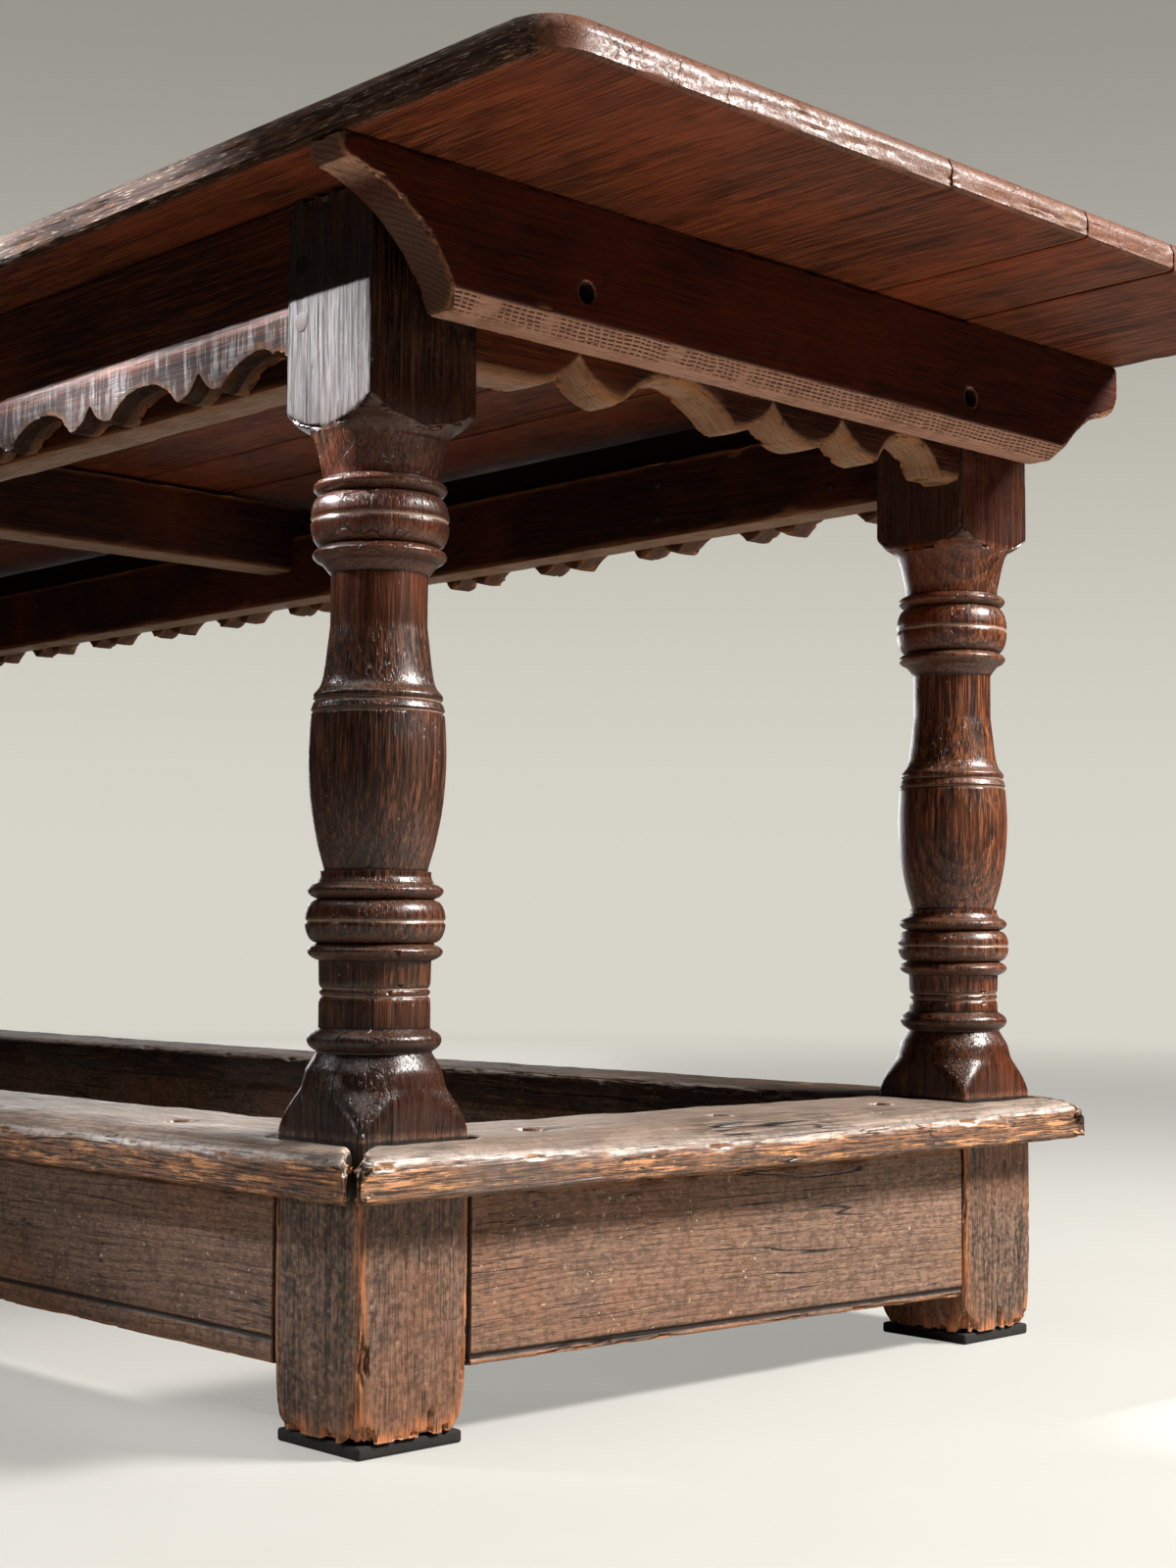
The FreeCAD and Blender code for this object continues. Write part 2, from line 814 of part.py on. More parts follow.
def worn_rail(length, face):
    reach = length * half + foot_rail_overhang
    sections = []
    for share, wear in zip(wear_station_shares, wear_amount_shares):
        sections.append(worn_section(-reach + reach * 2 * share, wear, face))
    rail = Part.makeLoft(sections, True, False)
    outer = face - foot_rail_overhang
    inner = face + leg_block + foot_rail_inner_reach
    slant = inner - outer
    gap = mitre_gap
    corners = [V(-reach + gap, outer, 0), V(reach - gap, outer, 0), V(reach - gap - slant, inner, 0),
               V(-reach + gap + slant, inner, 0)]
    plan = Part.Face(Part.makePolygon(corners + corners[:1]))
    rail = rail.common(plan.extrude(V(0, 0, table_height)))
    near = length * half - leg_block - notch_clearance
    far = length * half + notch_clearance
    low = face - notch_clearance
    high = face + leg_block + notch_clearance
    hole = box(near, far, low, high, 0, table_height)
    return rail.cut([hole, mirrored(hole, X_AXIS)])


def front_foot_rail():
    holes = rail_pegs(clear_length, long_rail_peg_shares, front_face + stretcher_setback, peg_clearance)
    return worn_rail(frame_length, front_face).cut(holes)


def right_foot_rail():
    holes = rail_pegs(clear_width, end_rail_peg_shares, -right_face + stretcher_setback, peg_clearance)
    return quarter_turn([worn_rail(frame_width, -right_face).cut(holes)])[0]


def foot_rail_pegs():
    front = rail_pegs(clear_length, long_rail_peg_shares, front_face + stretcher_setback, 0)
    right = quarter_turn(rail_pegs(clear_width, end_rail_peg_shares, -right_face + stretcher_setback, 0))
    pegs = front + right
    return pegs + [turned_about(peg) for peg in pegs]


def foot_pads():
    r = leg_block * half - pad_inset
    x = leg_spacing_length * half
    y = -leg_spacing_width * half
    return four_corners([box(x - r, x + r, y - r, y + r, 0, pad_thickness)])


# Every piece is written to a file of its own
os.makedirs("parts", exist_ok=True)
for number, board in enumerate(top_boards()):
    save("top_board_" + str(number + 1), [board])
save("board_tongues", [tongue(y, 0) for y in board_edges()[1:-1]])
right_batten = batten()
save("batten_right", [right_batten])
save("batten_left", [mirrored(right_batten, X_AXIS)])
save("batten_pegs", batten_pegs())

front_leg = leg(Turning(0, 0))
back_leg = mirrored(leg(Turning(back_block_extra, back_turning_sag)), Y_AXIS)
save("leg_front_right", [front_leg])
save("leg_back_right", [back_leg])
save("leg_front_left", [mirrored(front_leg, X_AXIS)])
save("leg_back_left", [mirrored(back_leg, X_AXIS)])
save("apron_front", [long_apron(front_arch_share, 0)])
save("apron_back", [mirrored(long_apron(back_arch_share, back_apron_extra), Y_AXIS)])
right_apron = end_apron()
save("apron_right", [right_apron])
save("apron_left", [turned_about(right_apron)])
save("apron_pegs", four_corners(leg_pegs(apron_peg_heights(), domed_peg)))
front_liner = liner()
save("liner_front", [front_liner])
save("liner_back", [mirrored(front_liner, Y_AXIS)])
front_nails = [nail(x, z) for x, z in nail_places()]
save("liner_nails", front_nails + [mirrored(piece, Y_AXIS) for piece in front_nails])
save("bearer", [bearer()])

stretcher = front_stretcher()
save("stretcher_front", [stretcher])
save("stretcher_back", [mirrored(stretcher, Y_AXIS)])
end_stretcher = right_stretcher()
save("stretcher_right", [end_stretcher])
save("stretcher_left", [mirrored(end_stretcher, X_AXIS)])
save("stretcher_pegs", four_corners(leg_pegs(stretcher_peg_heights(), domed_peg)))
foot_rail = front_foot_rail()
save("foot_rail_front", [foot_rail])
save("foot_rail_back", [mirrored(foot_rail, Y_AXIS)])
end_foot_rail = right_foot_rail()
save("foot_rail_right", [end_foot_rail])
save("foot_rail_left", [mirrored(end_foot_rail, X_AXIS)])
save("foot_rail_pegs", foot_rail_pegs())
save("foot_pads", foot_pads())
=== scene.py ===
import math

import bmesh
import bpy
import numpy as np
from mathutils import Matrix, Vector
from mathutils.bvhtree import BVHTree


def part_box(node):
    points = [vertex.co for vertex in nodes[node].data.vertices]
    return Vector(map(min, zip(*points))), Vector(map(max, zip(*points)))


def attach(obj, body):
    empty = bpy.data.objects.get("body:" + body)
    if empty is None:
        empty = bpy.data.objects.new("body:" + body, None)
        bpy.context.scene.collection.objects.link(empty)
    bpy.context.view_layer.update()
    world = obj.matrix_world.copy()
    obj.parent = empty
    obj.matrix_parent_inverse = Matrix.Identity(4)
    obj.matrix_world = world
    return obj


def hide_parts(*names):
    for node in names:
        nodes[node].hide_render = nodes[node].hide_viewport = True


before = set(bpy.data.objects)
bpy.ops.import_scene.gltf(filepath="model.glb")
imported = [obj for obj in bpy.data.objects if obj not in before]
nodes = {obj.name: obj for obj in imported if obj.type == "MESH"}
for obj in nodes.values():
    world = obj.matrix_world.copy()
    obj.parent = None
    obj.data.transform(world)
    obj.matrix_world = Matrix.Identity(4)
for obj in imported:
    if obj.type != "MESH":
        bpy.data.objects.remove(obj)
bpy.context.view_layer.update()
mm = 0.001


# Node trees

def linear(red, green, blue):
    """A colour as seen on a screen, 0 to 255, as the linear colour that a shader takes."""
    parts = [c / 255 for c in (red, green, blue)]
    return tuple(c / 12.92 if c <= 0.04045 else ((c + 0.055) / 1.055) ** 2.4 for c in parts) + (1.0,)


class Wire:
    """An output socket in a node tree. Arithmetic on wires adds Math nodes."""

    def __init__(self, tree, socket=None):
        self.tree = tree
        self.socket = socket

    def node(self, kind, settings=None, sockets=None, out=0):
        made = self.tree.nodes.new(kind)
        for name, value in (settings or {}).items():
            if name == "stops":
                ramp = made.color_ramp
                while len(ramp.elements) < len(value):
                    ramp.elements.new(1.0)
                for element, (place, colour) in zip(ramp.elements, value):
                    element.position = place
                    element.color = colour
            else:
                setattr(made, name, value)
        for key, value in (sockets or {}).items():
            if isinstance(value, Wire):
                self.tree.links.new(value.socket, made.inputs[key])
            else:
                made.inputs[key].default_value = value
        return Wire(self.tree, made.outputs[out] if made.outputs else None)

    def other(self, key):
        return Wire(self.tree, self.socket.node.outputs[key])

    def maths(self, operation, *terms):
        return self.node("ShaderNodeMath", {"operation": operation}, dict(enumerate(terms)))

    def __add__(self, other):
        return self.maths("ADD", self, other)

    def __radd__(self, other):
        return self.maths("ADD", other, self)

    def __sub__(self, other):
        return self.maths("SUBTRACT", self, other)

    def __rsub__(self, other):
        return self.maths("SUBTRACT", other, self)

    def __mul__(self, other):
        return self.maths("MULTIPLY", self, other)

    def __rmul__(self, other):
        return self.maths("MULTIPLY", other, self)

    def __truediv__(self, other):
        return self.maths("DIVIDE", self, other)

    def __rtruediv__(self, other):
        return self.maths("DIVIDE", other, self)

    def __pow__(self, other):
        return self.maths("POWER", self, other)

    def __neg__(self):
        return self.maths("MULTIPLY", self, -1.0)

    def alone(self, operation):
        return self.maths(operation, self)

    def size(self):
        return self.alone("ABSOLUTE")

    def larger(self, other):
        return self.maths("MAXIMUM", self, other)

    def smaller(self, other):
        return self.maths("MINIMUM", self, other)

    def between(self, low, high):
        """0 below low, 1 above high, and a smooth step between."""
        sockets = {"Value": self, "From Min": low, "From Max": high}
        return self.node("ShaderNodeMapRange", {"interpolation_type": "SMOOTHSTEP"}, sockets)

    def split(self):
        first = self.node("ShaderNodeSeparateXYZ", None, {0: self})
        return first, first.other(1), first.other(2)

    def vector(self, x, y, z):
        return self.node("ShaderNodeCombineXYZ", None, {0: x, 1: y, 2: z})

    def vectors(self, operation, *terms, out=0):
        return self.node("ShaderNodeVectorMath", {"operation": operation}, dict(enumerate(terms)), out)

    def scaled(self, factor):
        return self.node("ShaderNodeVectorMath", {"operation": "SCALE"}, {0: self, "Scale": factor})

    def cloud(self, scale, detail=2.0, roughness=0.5):
        sockets = {"Vector": self, "Scale": scale, "Detail": detail, "Roughness": roughness}
        return self.node("ShaderNodeTexNoise", None, sockets)

    def tint(self, share, first, second, blend="MIX"):
        settings = {"data_type": "RGBA", "blend_type": blend, "clamp_factor": True}
        return self.node("ShaderNodeMix", settings, {0: share, 6: first, 7: second}, 2)


def new_material(name):
    made = bpy.data.materials.new(name)
    made.use_nodes = True
    made.node_tree.nodes.clear()
    return made, Wire(made.node_tree)


# Oak: a solid pattern of growth rings about a heart line, so long grain and end grain agree

MARKS = ("cut", "edge", "chip", "hollow", "matt", "scribed", "grime", "polish")
FOOT_BROWN = linear(146, 92, 60)
TORN_ORANGE = linear(192, 116, 66)
DASH_BROWN = linear(70, 36, 25)
WEATHERED_GREY = linear(88, 76, 70)
# Rim tones for the top's long edges; the pale one is painted glints on its cracks
RIM_BLACK, RIM_BROWN, RIM_GLINT_PALE = linear(24, 16, 11), linear(66, 46, 33), linear(136, 118, 104)
CRACK_BLACK = linear(14, 8, 6)
SPECK_PALE = linear(196, 174, 150)
# Near-black for dirt and painted shade in hollows, creases, peg holes and joint gaps
HOLLOW_DIRT_AND_SHADE_BLACK = linear(12, 7, 5)
SCRIBED_PALE = linear(172, 142, 124)
# Near-black for grime and painted shade: shaded block sides, the leg inside the caps, the apron's inner faces, and
# grime on the bells
GRIME_AND_SHADE_BLACK = linear(9, 5, 3)
YEAR_RING = 0.0034

OLD_OAK = {
    "dark": (20, 8, 4), "body": (66, 32, 17), "light": (96, 54, 32), "flush": (104, 46, 20),
    "worn": (140, 92, 60), "raw": (160, 104, 62), "end": (84, 58, 44), "under": (112, 76, 54),
    "dust": (150, 132, 118), "foot": (116, 90, 74), "foot_dark": (56, 39, 30), "gloss": 0.36, "under_share": 0.0,
    "end_share": 0.5, "dust_share": 0.0, "speck_share": 0.0, "crack_share": 0.3, "flush_share": 0.5,
    "worn_share": 0.5, "fleck_share": 0.25, "sheen": 0.25, "shine": 0.5, "relief": 0.5, "contrast": 1.0,
    "foot_height": 0.0, "side": (108, 70, 48), "side_dark": (36, 23, 17), "side_share": 0.0,
    "rubbed": (222, 212, 204), "rubbed_share": 0.0, "dash_share": 0.0, "bare_share": 0.3, "mottle": 0.0,
    "fine": [1.3, 42.0], "hatch": [1.1, 18.0, 18.0], "scraped": False,
}


def finish(**changes):
    return {**OLD_OAK, **changes}


TOP_FINISH = finish(dark=(36, 14, 6), body=(98, 47, 25), light=(128, 72, 45), flush=(142, 64, 30), end=(84, 60, 47),
                    gloss=0.4, end_share=0.75, crack_share=0.6, worn=(96, 60, 40), raw=(104, 72, 50), sheen=0.3,
                    worn_share=0.15, relief=0.4, shine=0.15, contrast=1.3)
BATTEN_FINISH = finish(dark=(13, 3, 1), body=(50, 16, 6), light=(72, 27, 11), flush=(86, 31, 11),
                       under=(182, 138, 116), under_share=0.95, end=(94, 72, 60), end_share=0.85,
                       fleck_share=0.25, gloss=0.5, crack_share=0.1, relief=0.3, sheen=0.0, dash_share=1.0,
                       bare_share=0.12, shine=0.1, contrast=1.2)
APRON_FINISH = finish(dark=(16, 5, 2), body=(54, 22, 11), light=(96, 52, 32), under=(166, 128, 98),
                      under_share=0.92, gloss=0.44, sheen=0.0, contrast=1.3, shine=0.15)
# The long aprons: scraped, with darker soffits than the end aprons as painted shade
SHADED_LONG_APRON_FINISH = {**APRON_FINISH, "under": (104, 74, 56), "bare_share": 0.5, "worn_share": 0.2,
                     "scraped": True}
LEG_FINISH = finish(dark=(9, 5, 3), body=(48, 26, 16), light=(112, 70, 47), flush=(104, 46, 22),
                    gloss=0.28, crack_share=0.7, worn=(134, 92, 66), worn_share=0.3, sheen=0.4, relief=0.9,
                    foot=(124, 97, 80), foot_dark=(52, 39, 31), foot_height=0.186, speck_share=0.3, contrast=1.5,
                    fine=[0.9, 34.0], shine=0.4, mottle=0.35)
BACK_LEG_FINISH = {**LEG_FINISH, "body": (72, 36, 20), "light": (150, 92, 60), "flush": (132, 58, 28)}
RAIL_FINISH = finish(dark=(64, 48, 38), body=(126, 97, 80), light=(164, 131, 109), flush=(150, 100, 70),
                     gloss=0.6, dust_share=0.1, speck_share=0.9, crack_share=0.9, worn=(150, 104, 70),
                     worn_share=0.6, sheen=0.0, relief=0.9, contrast=0.6, fine=[1.4, 5.0], shine=0.3, mottle=0.5)
CAP_FINISH = finish(dark=(52, 41, 34), body=(116, 97, 84), light=(156, 136, 120), flush=(128, 98, 76),
                    gloss=0.42, dust_share=0.3, dust=(164, 150, 138), speck_share=0.5, crack_share=1.0,
                    worn=(158, 108, 72), raw=(206, 146, 96), worn_share=0.3, sheen=0.15, relief=1.2, contrast=1.1,
                    side=(128, 88, 62), side_dark=(40, 26, 19), side_share=0.95, rubbed_share=1.0, shine=0.4,
                    mottle=0.4)
# A darker, duller copy of the cap finish for the back rail: painted shade
SHADED_BACK_CAP_FINISH = {**CAP_FINISH, "dark": (30, 22, 17), "body": (68, 54, 45), "light": (96, 78, 66),
                   "side": (62, 42, 30), "side_dark": (26, 17, 12), "raw": (104, 72, 50), "dust_share": 0.0,
                   "gloss": 0.6, "sheen": 0.0, "shine": 0.2, "rubbed_share": 0.25}
LINER_FINISH = finish(dark=(16, 6, 3), body=(46, 21, 11), light=(70, 36, 21), under=(158, 126, 102),
                      under_share=0.95, gloss=0.5, sheen=0.0, shine=0.1)


def torn_fibre(streaks):
    """Where the grey skin of a foot has broken away to the raw wood beneath."""
    return streaks(2.4, 40.0, 3.0, 0.6).between(0.44, 0.58) * 0.85


def oak(name, tones, grain, heart, seed):
    """Old oak with its grain along one axis (0, 1 or 2) and its heart at two places across that axis."""
    made, start = new_material(name)
    colour = {k: linear(*v) for k, v in tones.items() if isinstance(v, tuple)}
    place = start.node("ShaderNodeTexCoord", None, None, "Object")
    parts = place.split()
    along = parts[grain]
    across = [parts[i] for i in range(3) if i != grain]
    u = across[0] - heart[0]
    v = across[1] - heart[1]
    board = start.vector(u, v, along + seed)

    def streaks(width, length, detail, roughness=0.5):
        """Noise drawn out along the grain; width and length in millimetres."""
        drawn = start.vector(u * (1000 / width), v * (1000 / width), along * (1000 / length) + seed)
        return drawn.cloud(1.0, detail, roughness)

    drift = start.vector(u * 2.0, v * 2.0, along * 1.6 + seed).cloud(1.0, 2.0)
    ripple = streaks(38.0, 200.0, 3.0)
    u_bent = u + (drift - 0.5) * 0.05 + (ripple - 0.5) * 0.004
    v_bent = v + (drift.other(1).split()[1] - 0.5) * 0.05
    radius = start.vectors("LENGTH", start.vector(u_bent, v_bent, 0.0), out="Value")
    ring = (radius / YEAR_RING + (ripple - 0.5) * 0.8).alone("FRACT")
    early = (1.0 - ring) ** 3.0

    fibre = streaks(3.6, 130.0, 4.0, 0.6)
    fine = streaks(*tones["fine"], 3.0, 0.55)
    tone = 0.5 + (fibre * 0.4 + fine * 0.6 - 0.5) * tones["contrast"]
    pore = streaks(1.0, 24.0, 1.0).between(0.55, 0.68) * (early * 0.7 + 0.3)
    turn = v_bent.maths("ARCTAN2", v_bent, u_bent) * radius
    fleck = start.vector(turn * 620.0, radius * 34.0, along * 85.0 + seed).cloud(1.0, 1.0).between(0.57, 0.66)
    patch = board.cloud(6.5, 3.0)
    stain = board.cloud(31.0, 3.0, 0.6)
    grit = board.cloud(260.0, 2.0, 0.6)

    shade = start.tint(tone.between(0.36, 0.56), colour["dark"], colour["body"])
    shade = start.tint(tone.between(0.49, 0.66) * 0.75 + ring * 0.15, shade, colour["light"])
    shade = start.tint(patch.between(0.42, 0.7) * tones["flush_share"], shade, colour["flush"])
    shade = start.tint(stain.between(0.5, 0.8) * 0.45, shade, colour["dark"])
    low = None
    if tones["foot_height"]:
        low = 1.0 - parts[2].between(tones["foot_height"] - 0.004, tones["foot_height"] + 0.005)
        grey = fibre * 0.25 + fine * 0.3 + grit * 0.45
        trodden = start.tint(grey.between(0.4, 0.58), colour["foot_dark"], colour["foot"])
        trodden = start.tint(patch.between(0.45, 0.68) * 0.45, trodden, FOOT_BROWN)
        shade = start.tint(low, shade, trodden)

    facing = start.node("ShaderNodeNewGeometry", None, None, "Normal").split()
    end = facing[grain].size().between(0.3, 0.7)
    marks = [start.node("ShaderNodeAttribute", {"attribute_name": name}, None, "Fac") for name in MARKS]
    cut, edge, chip, hollow, matt, scribed, grime, polish = marks
    under = (-facing[2]).between(0.25, 0.6).larger(cut)
    upward = facing[2].between(0.45, 0.9)
    pitch = [1000 / length for length in tones["hatch"]]
    hatch = start.vector(u * pitch[0], v * pitch[1], along * pitch[2] + seed).cloud(1.0, 2.0)
    shade = start.tint(end * tones["end_share"] * (0.55 + ring * 0.45), shade, colour["end"])
    # The under tone on cut and downward faces: bare wood, lightened partly as painted bounce light from the floor
    bare_and_bounce_lit = start.tint(tones["bare_share"], colour["under"], colour["dark"])
    bare_and_bounce_lit = start.tint(hatch.between(0.4, 0.56), bare_and_bounce_lit, colour["under"])
    bare_and_bounce_lit = start.tint(stain.between(0.45, 0.75) * 0.25, bare_and_bounce_lit, colour["body"])
    if tones["dash_share"]:
        slope = (-facing[2]).between(0.35, 0.5) * (1.0 - (-facing[2]).between(0.86, 0.95))
        wobble = board.cloud(45.0, 2.0)
        row = (parts[2] * (1000 / 2.1) + wobble * 1.2).alone("FRACT")
        column = (along * (1000 / 6.2) + wobble * 2.2 + parts[2] * 60.0).alone("FRACT")
        dash = (1.0 - (row - 0.5).size().between(0.12, 0.27)) * (1.0 - (column - 0.5).size().between(0.3, 0.45))
        dash = dash * slope * board.cloud(30.0, 2.0).between(0.28, 0.4)
        bare_and_bounce_lit = start.tint(dash * tones["dash_share"], bare_and_bounce_lit, DASH_BROWN)
        under = under * (1.0 - facing[grain].size().between(0.2, 0.45))
    shade = start.tint(under * tones["under_share"], shade, bare_and_bounce_lit)
    ray_tone = start.tint(0.5, colour["dark"], colour["body"])
    shade = start.tint(fleck * tones["fleck_share"] * (1.0 - end), shade, ray_tone)
    shade = start.tint(early * 0.3 * (1.0 - end * 0.3), shade, colour["dark"])
    shade = start.tint(pore * 0.75, shade, colour["dark"])

    if tones["side_share"]:
        side = 1.0 - facing[2].between(0.3, 0.62)
        torn = streaks(1.5, 26.0, 4.0, 0.65)
        split = start.tint(torn.between(0.38, 0.56), colour["side_dark"], colour["side"])
        bright = streaks(5.0, 48.0, 3.0, 0.6).between(0.5, 0.6) * torn.between(0.44, 0.56)
        split = start.tint(bright * 0.85, split, colour["raw"])
        split = start.tint(patch.between(0.5, 0.66) * 0.6, split, WEATHERED_GREY)
        shade = start.tint(side * tones["side_share"], shade, split)
        # Rubbed wear and a painted highlight: a near-white streak along the upper arris
        rubbed = edge.between(0.05, 0.35) * facing[2].between(0.3, 0.5)
        rubbed = rubbed * streaks(3.0, 30.0, 3.0, 0.6).between(0.4, 0.54)
        shade = start.tint(rubbed * tones["rubbed_share"], shade, colour["rubbed"])
    pitted = board.cloud(150.0, 3.0, 0.7).between(0.5, 0.6)
    shade = start.tint(pitted * tones["mottle"] * (low if low else 1.0), shade, colour["dark"])
    rub = (edge * (stain * 1.1 + fine * 0.7)).between(0.28, 0.75)
    shade = start.tint(rub * tones["worn_share"], shade, colour["worn"])
    if low:
        shade = start.tint(low * rub * torn_fibre(streaks), shade, TORN_ORANGE)
    rim = start.tint(streaks(1.8, 46.0, 3.0, 0.6).between(0.44, 0.6), RIM_BLACK, RIM_BROWN)
    # Painted glints on the rim's cracks
    rim = start.tint(streaks(1.0, 15.0, 2.0).between(0.6, 0.68), rim, RIM_GLINT_PALE)
    shade = start.tint(matt.between(0.5, 0.9) * 0.9, shade, rim)
    shade = start.tint(chip * tone.between(0.3, 0.6), shade, colour["raw"])
    crack = 1.0 - (streaks(22.0, 450.0, 2.0) - 0.5).size().between(0.0, 0.013)
    crack = crack * board.cloud(8.0, 1.0).between(0.47, 0.6)
    if tones["mottle"]:
        check = 1.0 - (streaks(7.0, 120.0, 2.0) - 0.5).size().between(0.0, 0.012)
        crack = crack.larger(check * board.cloud(17.0, 1.0).between(0.54, 0.62))
    shade = start.tint(crack * tones["crack_share"], shade, CRACK_BLACK)
    dust = upward * board.cloud(13.0, 4.0, 0.65).between(0.3, 0.7)
    shade = start.tint(dust * tones["dust_share"], shade, colour["dust"])
    speck = grit.between(0.66, 0.72) * stain.between(0.42, 0.6)
    shade = start.tint(speck * tones["speck_share"], shade, SPECK_PALE)
    # Dirt and painted shade in hollows
    shade = start.tint(hollow.between(0.25, 0.9) * 0.9, shade, HOLLOW_DIRT_AND_SHADE_BLACK)
    shade = start.tint(scribed.between(0.3, 0.9) * (0.3 + stain * 0.8), shade, SCRIBED_PALE)
    # Grime and painted shade darken the colour here; the polished zones are darkened too, so that their coat reads as a
    # neutral sheen
    shade = start.tint(grime.larger(polish.between(0.15, 0.4) * 0.8) * 0.9, shade, GRIME_AND_SHADE_BLACK)

    rough = tones["gloss"] + (stain - 0.5) * 0.22 + pore * 0.25 + dust * tones["dust_share"] * 0.35 + chip * 0.3
    rough = rough + under * 0.12 + matt * 0.4
    coat = (tones["sheen"] + polish * 1.3) * (1.0 - hollow.larger(under).larger(matt).larger(grime))
    grooved = streaks(3.4, 90.0, 4.0, 0.65)
    if tones["scraped"]:
        grooved = start.vector(u * 60.0, v * 13.0, along * 120.0 + seed).cloud(1.0, 4.0, 0.7)
    worn_smooth = (tone * 0.1 + grooved * 0.9 + polish * 0.06).between(0.49, 0.62)
    coat = coat.smaller(1.0) * (0.03 + worn_smooth * 0.97)
    rough = rough + polish.between(0.15, 0.3) * (1.0 - worn_smooth) * 0.55
    if low:
        rough = rough + low * 0.26
        coat = coat * (1.0 - low)
    rough = rough.larger(0.18).smaller(0.95)
    height = fibre * 0.45 + fine * 0.3 - pore * 0.8 - early * 0.2 + stain * 0.5 - crack * 2.2 * tones["crack_share"]
    bump = start.node("ShaderNodeBump", None, {"Strength": 0.6, "Distance": tones["relief"] * mm, "Height": height})
    sockets = {"Base Color": shade, "Roughness": rough, "Normal": bump, "Specular IOR Level": tones["shine"],
               "Coat Weight": coat, "Coat Roughness": 0.3}
    shader = start.node("ShaderNodeBsdfPrincipled", None, sockets)
    start.node("ShaderNodeOutputMaterial", None, {"Surface": shader})
    return made


def plain_finish(name, dark, light, rough, metal, scale):
    """Pad felt or forged iron: a mottled colour with a worn, pitted surface."""
    made, start = new_material(name)
    place = start.node("ShaderNodeTexCoord", None, None, "Object")
    mottle = place.cloud(scale, 4.0, 0.65)
    pits = place.cloud(scale * 5.0, 2.0)
    shade = start.tint(mottle.between(0.3, 0.75), linear(*dark), linear(*light))
    bump = start.node("ShaderNodeBump", None, {"Strength": 0.5, "Distance": 0.0006, "Height": mottle + pits * 0.6})
    sockets = {"Base Color": shade, "Roughness": rough + (pits - 0.5) * 0.3, "Metallic": metal, "Normal": bump}
    shader = start.node("ShaderNodeBsdfPrincipled", None, sockets)
    start.node("ShaderNodeOutputMaterial", None, {"Surface": shader})
    return made


def into_scene(name, data):
    made = bpy.data.objects.new(name, data)
    bpy.context.scene.collection.objects.link(made)
    return made


# Geometry Nodes trees

def new_tree(name, inputs):
    tree = bpy.data.node_groups.new(name, "GeometryNodeTree")
    for label, kind in inputs:
        tree.interface.new_socket(label, in_out="INPUT", socket_type="NodeSocket" + kind)
    tree.interface.new_socket("Geometry", in_out="OUTPUT", socket_type="NodeSocketGeometry")
    start = Wire(tree)
    first = start.node("NodeGroupInput")
    return tree, start, {label: first.other(label) for label, _ in inputs}


def close_tree(start, geometry, material):
    whole = start.node("GeometryNodeRealizeInstances", None, {"Geometry": geometry})
    dressed = start.node("GeometryNodeSetMaterial", None, {"Geometry": whole, "Material": material})
    start.node("NodeGroupOutput", None, {0: dressed})


def weathered_oak_tree():
    """Rubs down arrises, breaks chips out of them and leaves the surface a little uneven."""
    labels = [("Geometry", "Geometry"), ("Finish", "Material"), ("Edge Wear", "Float"), ("Chip Depth", "Float"),
              ("Chip Size", "Float"), ("Chip Share", "Float"), ("Swell Depth", "Float"), ("Swell Size", "Float"),
              ("Grain Stretch", "Vector"), ("Seed", "Float")]
    tree, start, given = new_tree("weathered oak", labels)
    place = start.node("GeometryNodeInputPosition")
    outward = start.node("GeometryNodeInputNormal")
    edge = start.node("GeometryNodeInputNamedAttribute", {"data_type": "FLOAT"}, {"Name": "edge"})
    seeded = start.vectors("ADD", place, start.vector(given["Seed"], given["Seed"] * 0.37, given["Seed"] * 0.71))
    stretched = start.vectors("MULTIPLY", seeded, given["Grain Stretch"])
    swell = seeded.cloud(1.0 / given["Swell Size"], 2.0)
    torn = stretched.cloud(1.0 / given["Chip Size"], 3.0, 0.6)
    rub = stretched.cloud(2.6 / given["Chip Size"], 2.0)
    chip = (torn + (edge - 0.6) * 0.25).between(1.0 - given["Chip Share"], 1.07 - given["Chip Share"])
    chip = chip * edge.between(0.12, 0.45)
    depth = edge * given["Edge Wear"] * (0.35 + rub) + chip * given["Chip Depth"] * (0.5 + rub)
    depth = depth + swell * given["Swell Depth"]
    sockets = {"Geometry": given["Geometry"], "Offset": outward.scaled(-depth)}
    moved = start.node("GeometryNodeSetPosition", None, sockets)
    settings = {"data_type": "FLOAT", "domain": "POINT"}
    marked = start.node("GeometryNodeStoreNamedAttribute", settings, {"Geometry": moved, "Name": "chip", "Value": chip})
    close_tree(start, marked, given["Finish"])
    return tree


